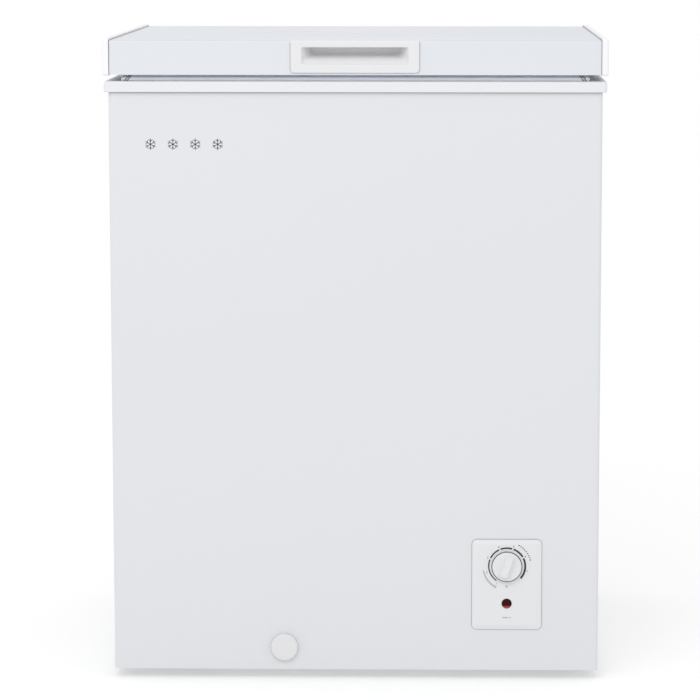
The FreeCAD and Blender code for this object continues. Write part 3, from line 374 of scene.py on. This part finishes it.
def loft(bm, rings, cap_end=True, closed=False):
    """Skins a list of rings that have equal point counts; closed joins the last ring to the first."""
    loops = [[bm.verts.new(point) for point in ring] for ring in rings]
    pairs = list(zip(loops, loops[1:]))
    if closed:
        pairs.append((loops[-1], loops[0]))
    for first, second in pairs:
        count = len(first)
        for i in range(count):
            j = (i + 1) % count
            bm.faces.new((first[i], first[j], second[j], second[i]))
    if not closed:
        bm.faces.new(list(reversed(loops[0])))
    if cap_end and not closed:
        bm.faces.new(loops[-1])


def rect_ring(x0, x1, z0, z1, y, low_r, high_r):
    """A rounded rectangle in the XZ plane at depth y, with its own low and high corner radii."""
    points = []
    corners = [(x1 - high_r, z1 - high_r, high_r, 0),
               (x0 + high_r, z1 - high_r, high_r, 90),
               (x0 + low_r, z0 + low_r, low_r, 180),
               (x1 - low_r, z0 + low_r, low_r, 270)]
    for cx, cz, radius, start in corners:
        for i in range(CORNER_STEPS + 1):
            angle = math.radians(start + 90 * i / CORNER_STEPS)
            points.append(Vector((cx + radius * math.cos(angle), y, cz + radius * math.sin(angle))))
    return points


def round_ring(x, z, y, radius, count=SEGMENTS):
    """A circle in the XZ plane at depth y."""
    return [Vector((x + radius * math.cos(2 * math.pi * i / count), y,
                    z + radius * math.sin(2 * math.pi * i / count))) for i in range(count)]


def path_strip(name, path, out, across, body, finish):
    """A thin strip along path; out gives its thickness at each point, across its width."""
    bm = bmesh.new()
    rings = []
    for spot, way in zip(path, out):
        rings.append([spot, spot + way, spot + way + across, spot + across])
    loft(bm, rings)
    piece(name, bm, body, finish=finish)


# ---- lid handle ----
def opening_corners(name):
    """The low and high corners of one of the record's openings."""
    for entry in frame["record"]["physics"]["openings"]:
        if entry["name"] == name:
            return [Vector(corner) for corner in entry["box_m"]]


def build_handle():
    """Moulded grip: bevelled plate with a scooped finger recess under a rounded lip."""
    lo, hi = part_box("lid_handle")
    face, wall = lo.y, low("lid_skin").y
    fingers_low, fingers_high = opening_corners("handle_recess")
    mouth_half = 66.2 * MM
    mouth_low = fingers_low.z - 8.2 * MM
    mouth_high = fingers_high.z + 0.6 * MM
    depth = 24 * MM
    pocket_wall = 1.6 * MM
    undercut = 0.7 * MM
    undercut_depth = 0.6 * MM
    side_y = wall - 0.9 * MM
    bevel = 0.9 * MM
    step_z = mouth_low - 3.7 * MM
    step_setback = 0.7 * MM
    roll = 1.1 * MM

    def plate_ring(y, inset, top_inset, low_r, high_r):
        """An outline of the plate, inset from its edges."""
        return rect_ring(lo.x + inset, hi.x - inset, lo.z + inset, hi.z - top_inset, y, low_r, high_r)

    def mouth_ring(y, side, floor, roof, low_r=2 * MM, high_r=2 * MM):
        """An outline of the recess, inset from its mouth at the sides, the floor and the roof."""
        return rect_ring(-mouth_half + side, mouth_half - side, mouth_low + floor, mouth_high - roof,
                         y, low_r, high_r)

    # Outside of the pocket behind the skin, then the back of the plate with its undercut edge.
    rings = [mouth_ring(face + depth + pocket_wall, 13 * MM, 8 * MM, -pocket_wall),
             mouth_ring(wall, -pocket_wall, -pocket_wall, -pocket_wall),
             plate_ring(wall, undercut, 0.1 * MM, 4.4 * MM, 1 * MM),
             plate_ring(wall - undercut_depth, undercut, 0.1 * MM, 4.4 * MM, 1 * MM),
             plate_ring(side_y, 0, 0, 5 * MM, 1 * MM)]
    # Bevelled edge; below the step the face leans back.
    for share in (0.4, 0.75, 1.0):
        inset = (1 - math.cos(share * math.pi / 2)) * bevel
        y = side_y - math.sin(share * math.pi / 2) * (side_y - face)
        ring = plate_ring(y, inset, inset, 4.6 * MM, 1.2 * MM)
        for point in ring:
            if point.z < step_z:
                point.y += step_setback * share * (step_z - point.z) / (step_z - lo.z)
        rings.append(ring)
    # The flat face above the step.
    face_side, face_top, face_r = 5 * MM, 3.4 * MM, 2.5 * MM
    rings.append(rect_ring(lo.x + face_side, hi.x - face_side, step_z, hi.z - face_top, face,
                           face_r, face_r))
    # The mouth of the recess, rolled over a small radius.
    for i in range(5):
        angle = math.radians(90 * i / 4)
        grow = roll * (1 - math.sin(angle))
        rings.append(mouth_ring(face + roll * (1 - math.cos(angle)), -grow, -grow, -grow))
    # The floor and sides slope in steeply near the mouth, then run back to the rear wall.
    steep_share, side_run, steep_rise, even_rise = 0.4, 12 * MM, 5.6 * MM, 7.6 * MM
    for share in (0.05, 0.1, 0.16, 0.22, 0.28, 0.34, 0.4, 0.48, 0.56, 0.65, 0.74, 0.84, 0.94):
        steep = min(share / steep_share, 1.0)
        side = side_run * share ** 0.8
        floor = steep_rise * steep * (2 - steep) + even_rise * share ** 1.3
        rings.append(mouth_ring(face + roll + (depth - roll) * share, side, floor, 0, (2 + 3 * share) * MM))
    rings.append(mouth_ring(face + depth, 13.5 * MM, 14 * MM, 1 * MM, 2.5 * MM))
    bm = bmesh.new()
    loft(bm, rings)
    piece("handle_moulding", bm, "lid", "handle_plastic", replaces=["lid_handle"], smooth_angle=50)


# ---- gasket ----
def build_gasket():
    """Bellows seal, welded at 45 degrees at the corners."""
    lo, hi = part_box("lid_gasket")
    width = 18 * MM
    height = hi.z - lo.z
    # Shares of the width inwards and of the height upwards, round the section.
    section = [(0.12, 1.0), (0.12, 0.9), (0.22, 0.86), (0.34, 0.78), (0.34, 0.70), (0.2, 0.64),
               (0.08, 0.58), (0.02, 0.50), (0.0, 0.38), (0.0, 0.16), (0.05, 0.0), (0.95, 0.0),
               (1.0, 0.16), (1.0, 0.38), (0.97, 0.50), (0.88, 0.58), (0.72, 0.66), (0.72, 0.76),
               (0.84, 0.86), (0.88, 1.0)]
    rings = []
    for share, rise in section:
        inset = width * share
        z = lo.z + height * rise
        rings.append([Vector((lo.x + inset, lo.y + inset, z)), Vector((hi.x - inset, lo.y + inset, z)),
                      Vector((hi.x - inset, hi.y - inset, z)), Vector((lo.x + inset, hi.y - inset, z))])
    bm = bmesh.new()
    loft(bm, rings, closed=True)
    piece("gasket_profile", bm, "lid", "gasket_rubber", replaces=["lid_gasket"], smooth_angle=30)
    # Dark strips of painted shade in the bellows creases on the slant where the front corners are welded,
    # from the sole up.
    outer_side = section[2:12][::-1]
    first_crease, crease_pitch, crease_width, slant = 6.5 * MM, 3.2 * MM, 1.4 * MM, 6.0 * MM
    for side, corner_x, sign in (("left", lo.x, -1), ("right", hi.x, 1)):
        for fold in range(2):
            inset = first_crease - fold * crease_pitch
            path = [Vector((corner_x - sign * (inset + slant * rise), lo.y + width * share,
                            lo.z + height * rise)) for share, rise in outer_side]
            path_strip("gasket_fold_shade_%s_%d" % (side, fold), path, [Vector((0, -STRIP_LIFT, 0))] * len(path),
                       Vector((-sign * crease_width, 0, 0)), "lid", DEEP_JOINT_SHADE)


# ---- thermostat knob ----
KNOB_DIRECTION = math.radians(71)
KNOB_SEGMENTS = 120
KNOB_FACE_STEPS = 44


def build_knob():
    """Crowned disc with a broad grip ridge that blends into the rim, and a dark ring let in round its edge
    as painted shade of the gap round the knob.
    """
    lo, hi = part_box("thermostat_knob")
    centre = (lo + hi) / 2
    radius = (hi.x - lo.x) / 2
    back, front = hi.y, lo.y
    rim_y = back - 5.4 * MM
    crown_height = 0.5 * MM
    ridge_height = rim_y - front - crown_height
    ridge_half_width, ridge_side = 3.2 * MM, 5.2 * MM
    ridge_half_length, ridge_end = 12.4 * MM, 4.8 * MM
    face_share = 0.935
    way = Vector((math.cos(KNOB_DIRECTION), math.sin(KNOB_DIRECTION)))

    def knob_ring(share, y):
        """A circle round the knob's axis, share of the knob's radius wide."""
        return round_ring(centre.x, centre.z, y, radius * share, KNOB_SEGMENTS)

    def face_y(x, z):
        """Depth of the face at a point of the disc, relative to the rim plane."""
        along = x * way.x + z * way.y
        across = abs(-x * way.y + z * way.x)
        crown = crown_height * (1 - (x * x + z * z) / radius ** 2)
        slope = 1 - smooth((across - ridge_half_width) / ridge_side)
        fade = 1 - smooth((abs(along) - ridge_half_length) / ridge_end)
        return -max(crown, 0.0) - ridge_height * slope * fade

    rings = [knob_ring(0.93, back),
             knob_ring(1.0, back - 0.3 * MM),
             knob_ring(1.0, rim_y + 1.5 * MM),
             knob_ring(0.955, rim_y + 1.4 * MM),
             knob_ring(0.952, rim_y + 0.35 * MM),
             knob_ring(face_share, rim_y)]
    for i in range(1, KNOB_FACE_STEPS + 1):
        ring = knob_ring(face_share * (1 - i / KNOB_FACE_STEPS), rim_y)
        for point in ring:
            point.y += face_y(point.x - centre.x, point.z - centre.z)
        rings.append(ring)
    bm = bmesh.new()
    loft(bm, rings, cap_end=False)
    bmesh.ops.remove_doubles(bm, verts=bm.verts[:], dist=1e-6)
    piece("knob_moulding", bm, "knob", "knob_plastic", replaces=["thermostat_knob"], smooth_angle=60)
    # Black ring round the knob's edge: painted shade of the narrow gap round the knob.
    collar = [knob_ring(0.955, rim_y + 1.5 * MM),
              knob_ring(1.0, rim_y + 1.5 * MM),
              knob_ring(1.0, rim_y + 0.6 * MM),
              knob_ring(0.955, rim_y + 0.4 * MM)]
    bm = bmesh.new()
    loft(bm, collar, closed=True)
    piece("knob_ring", bm, "knob", finish=FINISHES["black_plastic"])


# ---- printed marks ----
INK_LIFT = 0.06 * MM


def flat_marks(name, polygons, y, finish):
    """Thin printed shapes, each a list of (x, z) points, standing INK_LIFT off the face y."""
    bm = bmesh.new()
    for points in polygons:
        outer = [Vector((x, y - INK_LIFT, z)) for x, z in points]
        inner = [Vector((x, y, z)) for x, z in points]
        loft(bm, [inner, outer])
    piece(name, bm, "cabinet", finish=finish)


def arc_band(cx, cz, start, end, inner, outer_start, outer_end):
    """A band round (cx, cz) from angle start to end whose outer radius changes along it."""
    steps = 18
    outer, inside = [], []
    for i in range(steps + 1):
        share = i / steps
        angle = math.radians(start + (end - start) * share)
        reach = outer_start + (outer_end - outer_start) * share
        outer.append((cx + reach * math.cos(angle), cz + reach * math.sin(angle)))
        inside.append((cx + inner * math.cos(angle), cz + inner * math.sin(angle)))
    return outer + inside[::-1]


def disc(cx, cz, radius):
    """A small dot."""
    return [(point.x, point.z) for point in round_ring(cx, cz, 0, radius, 16)]


def bar(cx, cz, angle, start, end, width):
    """A stroke at angle (degrees) from radius start to radius end round (cx, cz)."""
    way = Vector((math.cos(math.radians(angle)), math.sin(math.radians(angle))))
    side = Vector((-way.y, way.x)) * width / 2
    return [(cx + way.x * r + side.x * s, cz + way.y * r + side.y * s)
            for r, s in ((start, -1), (end, -1), (end, 1), (start, 1))]


def numeral(text, x, z, y, size):
    """One printed numeral centred on (x, z), made as a mesh."""
    curve = bpy.data.curves.new("numeral_" + text, "FONT")
    curve.body = text
    curve.size = size
    curve.align_x = "CENTER"
    curve.align_y = "CENTER"
    curve.extrude = INK_LIFT / 2
    obj = bpy.data.objects.new("numeral_" + text, curve)
    bpy.context.scene.collection.objects.link(obj)
    obj.matrix_world = Matrix.Translation((x, y - INK_LIFT / 2, z)) @ Matrix.Rotation(math.pi / 2, 4, "X")
    bpy.context.view_layer.update()
    mesh = bpy.data.meshes.new_from_object(obj)
    mesh.transform(obj.matrix_world)
    mesh.name = "numeral_" + text
    made = bpy.data.objects.new("dial_numeral_" + text, mesh)
    bpy.data.objects.remove(obj)
    bpy.context.scene.collection.objects.link(made)
    mesh.materials.clear()
    mesh.materials.append(INK)
    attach(made, "cabinet")


def build_dial_print():
    """Scale round the knob: a band that thickens towards cold, numerals 0 to 7, and plain hints."""
    lo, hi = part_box("thermostat_knob")
    cx, cz = (lo.x + hi.x) / 2, (lo.z + hi.z) / 2
    y = low("control_panel").y
    # The angles of the numerals, clockwise from 0 at the bottom.
    numeral_angles = [270, 240, 198, 156, 113, 71, 28, -15]
    band_start, band_end = 235, -42
    band_inner, thin, thickening = 22.2 * MM, 1.4, 1.2

    def reach(angle):
        """Outer radius of the band at an angle."""
        return band_inner + (thin + thickening * (band_start - angle) / (band_start - band_end)) * MM

    # The band is broken by numerals 3 to 6.
    breaks, half_gap = numeral_angles[3:7], 2.2
    starts = [band_start] + [angle - half_gap for angle in breaks]
    ends = [angle + half_gap for angle in breaks] + [band_end]
    bands = [arc_band(cx, cz, start, end, band_inner, reach(start), reach(end))
             for start, end in zip(starts, ends)]
    flat_marks("dial_bands", bands, y, INK)
    numeral_radius, numeral_size = 26.6 * MM, 3.8 * MM
    for number, angle in enumerate(numeral_angles):
        numeral(str(number), cx + numeral_radius * math.cos(math.radians(angle)),
                cz + numeral_radius * math.sin(math.radians(angle)), y, numeral_size)
    # Short strokes by the warm end, each a little shorter than the one before.
    strokes, first, sweep = 16, 243, 51
    hatch = [bar(cx, cz, first - sweep * i / (strokes - 1), 29.4 * MM, (32.0 - 0.06 * i) * MM, 1.1 * MM)
             for i in range(strokes)]
    flat_marks("dial_warm_hatch", hatch, y, GREY_INK)
    # Small squares by the cold end.
    strokes, first, sweep = 9, 60, 45
    squares = [bar(cx, cz, first - sweep * i / (strokes - 1), 30.0 * MM, 31.6 * MM, 1.3 * MM)
               for i in range(strokes)]
    flat_marks("dial_cold_squares", squares, y, INK)


def build_lamp_mark():
    """A plain dash and dot under the indicator."""
    lo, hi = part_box("indicator_lens")
    cx = (lo.x + hi.x) / 2
    z = lo.z - 11.8 * MM
    marks = [bar(cx, z, 0, -5.5 * MM, 2.0 * MM, 1.0 * MM), disc(cx + 4.4 * MM, z, 0.8 * MM)]
    flat_marks("lamp_mark", marks, low("control_panel").y, GREY_INK)


def snowflake(cx, cz, radius):
    """Six arms with a pair of barbs each."""
    strokes = [bar(cx, cz, 30 + 60 * arm, -radius, radius, 0.11 * radius) for arm in range(3)]
    for arm in range(6):
        angle = 30 + 60 * arm
        fork_x = cx + math.cos(math.radians(angle)) * 0.55 * radius
        fork_z = cz + math.sin(math.radians(angle)) * 0.55 * radius
        for turn in (-55, 55):
            strokes.append(bar(fork_x, fork_z, angle + turn, 0, 0.42 * radius, 0.1 * radius))
    return strokes


def build_front_mark():
    """Row of plain snowflakes high on the left of the front, the usual sign for deep freezing."""
    first_x, pitch, z, radius = -256 * MM, 28 * MM, 683 * MM, 7.2 * MM
    strokes = []
    for i in range(4):
        strokes += snowflake(first_x + pitch * i, z, radius)
    flat_marks("freezing_mark", strokes, low("outer_shell").y, INK)


# ---- joint lines: strips of painted shade ----
def frame_strip(name, lo, hi, low_r, high_r, y, width, body):
    """A dark strip of painted shade all round a rounded plate that sits against the plane y."""
    bm = bmesh.new()
    inside = [rect_ring(lo.x + width, hi.x - width, lo.z + width, hi.z - width, level, low_r, high_r)
              for level in (y, y - STRIP_LIFT)]
    outside = [rect_ring(lo.x - width, hi.x + width, lo.z - width, hi.z + width, level,
                         low_r + width, high_r + width) for level in (y - STRIP_LIFT, y)]
    loft(bm, inside + outside, closed=True)
    piece(name, bm, body, finish=JOINT_SHADE)


def build_plate_joints():
    """Dark lines round the control panel and the handle: strips of painted shade in the joints."""
    lo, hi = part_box("control_panel")
    frame_strip("panel_joint_shade", lo, hi, 6 * MM, 6 * MM, low("outer_shell").y, 0.75 * MM, "cabinet")
    lo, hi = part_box("lid_handle")
    hi = hi - Vector((0, 0, 2 * MM))
    frame_strip("handle_joint_shade", lo, hi, 5 * MM, 1 * MM, low("lid_skin").y, 0.5 * MM, "lid")


def build_cap_joints():
    """Painted shade in the joint between the lid's skin and each end cap: up the front, over the top and
    down the rear.
    """
    lo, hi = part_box("lid_skin")
    width = 0.7 * MM
    out = [Vector(way) * STRIP_LIFT for way in ((0, -1, 0), (0, -1, 1), (0, 1, 1), (0, 1, 0))]
    for side, x, sign in (("left", lo.x, 1), ("right", hi.x, -1)):
        path = [Vector((x, lo.y, lo.z)), Vector((x, lo.y, hi.z)), Vector((x, hi.y, hi.z)),
                Vector((x, hi.y, lo.z))]
        path_strip("cap_joint_shade_" + side, path, out, Vector((sign * width, 0, 0)), "lid", DEEP_JOINT_SHADE)


def build_trim_joint():
    """Painted shade in the joint under the top trim, along both sides and the front of the shell."""
    lo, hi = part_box("outer_shell")
    corner_r, rear_gap, width, lift = 5 * MM, 2 * MM, 0.7 * MM, 0.3 * MM
    path = [Vector((lo.x, hi.y - rear_gap, hi.z))]
    out = [Vector((-1, 0, 0))]
    for cx, start in ((lo.x + corner_r, 180), (hi.x - corner_r, 270)):
        for i in range(CORNER_STEPS + 1):
            angle = math.radians(start + 90 * i / CORNER_STEPS)
            way = Vector((math.cos(angle), math.sin(angle), 0))
            path.append(Vector((cx, lo.y + corner_r, hi.z)) + way * corner_r)
            out.append(way)
    path.append(Vector((hi.x, hi.y - rear_gap, hi.z)))
    out.append(Vector((1, 0, 0)))
    path_strip("trim_joint_shade", path, [way * lift for way in out], Vector((0, 0, -width)), "cabinet",
               DEEP_JOINT_SHADE)


# ---- hinge springs ----
def build_spring(side):
    """Closed-end compression spring, wound up the height of the CAD spring and left on no body."""
    lo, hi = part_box("hinge_spring_" + side)
    centre_x, centre_y = (lo.x + hi.x) / 2, (lo.y + hi.y) / 2
    wire_r, coil_r = 1.0 * MM, 5.0 * MM
    turns, closed_turns = 13.5, 1.4
    closed_rise = 2.1 * wire_r
    steps = int(turns * 22)
    rise = hi.z - lo.z - 2 * wire_r
    rings = []
    for i in range(steps + 1):
        turn = turns * i / steps
        if turn < closed_turns:
            height = turn / closed_turns * closed_rise
        elif turn > turns - closed_turns:
            height = rise - (turns - turn) / closed_turns * closed_rise
        else:
            share = (turn - closed_turns) / (turns - 2 * closed_turns)
            height = closed_rise + share * (rise - 2 * closed_rise)
        angle = 2 * math.pi * turn
        out = Vector((math.cos(angle), math.sin(angle), 0))
        spot = Vector((centre_x, centre_y, lo.z + wire_r + height)) + out * coil_r
        ring = []
        for k in range(10):
            around = 2 * math.pi * k / 10
            ring.append(spot + (out * math.cos(around) + Vector((0, 0, 1)) * math.sin(around)) * wire_r)
        rings.append(ring)
    bm = bmesh.new()
    loft(bm, rings)
    spring = piece("spring_coil_" + side, bm, None, "spring_steel", replaces=["hinge_spring_" + side],
                   smooth_angle=60)
    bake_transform(spring)


# ---- screws at the rear ----
def solid_corners(node):
    """The low and high corners of each separate solid of a CAD node, in order of x, then z."""
    obj = frame["nodes"][node]
    bm = bmesh.new()
    bm.from_mesh(obj.data)
    bm.transform(obj.matrix_world)
    bmesh.ops.remove_doubles(bm, verts=bm.verts[:], dist=1e-6)
    seen = set()
    corners = []
    for start in bm.verts:
        if start in seen:
            continue
        seen.add(start)
        waiting, spots = [start], []
        while waiting:
            vert = waiting.pop()
            spots.append(vert.co.copy())
            for edge in vert.link_edges:
                other = edge.other_vert(vert)
                if other not in seen:
                    seen.add(other)
                    waiting.append(other)
        axes = list(zip(*spots))
        corners.append((Vector([min(axis) for axis in axes]), Vector([max(axis) for axis in axes])))
    bm.free()
    return sorted(corners, key=lambda pair: (round(pair[0].x, 4), round(pair[0].z, 4)))


def cross_ring(x, z, y, reach, half_width, turn):
    """The outline of a cross recess with arms reach long, turned by an angle."""
    points = []
    for i in range(SEGMENTS):
        angle = 2 * math.pi * i / SEGMENTS
        along = abs(math.cos(angle - turn)) + 1e-9
        across = abs(math.sin(angle - turn)) + 1e-9
        radius = max(min(reach / along, half_width / across), min(reach / across, half_width / along))
        points.append(Vector((x + radius * math.cos(angle), y, z + radius * math.sin(angle))))
    return points


def build_screws(node, body):
    """Pan-head screws driven in from the rear, each left at its own angle."""
    bm = bmesh.new()
    order = random.Random(len(node))
    shank_r, tip_r, tip_length = 2.0 * MM, 0.3 * MM, 2.5 * MM
    head_height, edge_r, foot_in, foot_up = 2.2 * MM, 1.4 * MM, 0.15 * MM, 0.2 * MM
    for lo, hi in solid_corners(node):
        x, z = (lo.x + hi.x) / 2, (lo.z + hi.z) / 2
        head_r = (hi.x - lo.x) / 2
        top, under = hi.y, hi.y - head_height
        profile = [(lo.y, tip_r), (lo.y + tip_length, shank_r), (under, shank_r),
                   (under, head_r - foot_in), (under + foot_up, head_r)]
        for i in range(6):
            angle = math.radians(90 * i / 5)
            profile.append((top - edge_r + edge_r * math.sin(angle),
                            head_r - edge_r + edge_r * math.cos(angle)))
        rings = [round_ring(x, z, y, radius) for y, radius in profile]
        turn = order.uniform(0, math.pi / 2)
        # The cross recess narrows as it goes in.
        for depth, scale in ((0, 1.0), (0.1 * MM, 0.94), (1.3 * MM, 0.7)):
            arm = head_r * scale
            rings.append(cross_ring(x, z, top - depth, 0.56 * arm, 0.14 * arm, turn))
        loft(bm, rings)
    piece(node + "_pan_heads", bm, body, "zinc_steel", replaces=[node], smooth_angle=40)


# ---- stage, lights and camera ----
def build_stage():
    """Pale floor that gives off some light of its own, like a light table."""
    mesh = bpy.data.meshes.new("floor")
    half = 30.0
    corners = [(-half, -half, 0), (half, -half, 0), (half, half, 0), (-half, half, 0)]
    mesh.from_pydata(corners, [], [(0, 1, 2, 3)])
    floor = bpy.data.objects.new("floor", mesh)
    bpy.context.scene.collection.objects.link(floor)
    finish = Finish("lit_floor", (0.56, 0.56, 0.56), 0.8)
    finish.mottle(0.8, 0.004)
    finish.put("Specular IOR Level", 0.1)
    finish.put("Emission Color", (1, 1, 1, 1)).put("Emission Strength", 0.42)
    mesh.materials.append(finish.material)


def build_lights():
    """White surroundings and one large soft box, above and in front."""
    world = bpy.data.worlds.new("studio")
    bpy.context.scene.world = world
    world.use_nodes = True
    background = world.node_tree.nodes["Background"]
    background.inputs["Color"].default_value = (1, 1, 1, 1)
    background.inputs["Strength"].default_value = 1.0
    data = bpy.data.lights.new("key_box", "AREA")
    data.shape = "RECTANGLE"
    data.size = 2.0
    data.size_y = 1.0
    data.energy = 20
    data.color = (0.97, 0.98, 1.0)
    key = bpy.data.objects.new("key_box", data)
    bpy.context.scene.collection.objects.link(key)
    key.location = (-0.6, -2.3, 2.4)
    aim = Vector((0, -0.26, 0.7)) - key.location
    key.rotation_euler = aim.to_track_quat("-Z", "Y").to_euler()


def build_camera():
    """Long lens, a little right of centre and above the lid, looking slightly down."""
    data = bpy.data.cameras.new("camera")
    camera = bpy.data.objects.new("camera", data)
    bpy.context.scene.collection.objects.link(camera)
    data.sensor_width = 36.0
    data.lens = 156.96
    data.shift_x = -0.05
    data.shift_y = -0.03
    data.clip_start = 0.05
    data.clip_end = 200
    right, distance, height = 0.109, 3.8, 0.958
    camera.location = (right, low("lid_skin").y - distance, height)
    pitch, yaw = math.radians(7.59), math.radians(-1.08)
    forward = Vector((math.sin(yaw) * math.cos(pitch), math.cos(yaw) * math.cos(pitch), -math.sin(pitch)))
    camera.rotation_euler = forward.to_track_quat("-Z", "Y").to_euler()
    bpy.context.scene.camera = camera


build_camera()
build_stage()
build_lights()
bpy.context.scene.view_settings.view_transform = "Standard"
paint_cad_nodes()
build_handle()
build_gasket()
build_knob()
build_dial_print()
build_lamp_mark()
build_front_mark()
build_plate_joints()
build_cap_joints()
build_trim_joint()
build_spring("left")
build_spring("right")
build_screws("hinge_bracket_screws", "cabinet")
build_screws("rear_cover_screws", "cabinet")
build_screws("hinge_arm_screws", "lid")
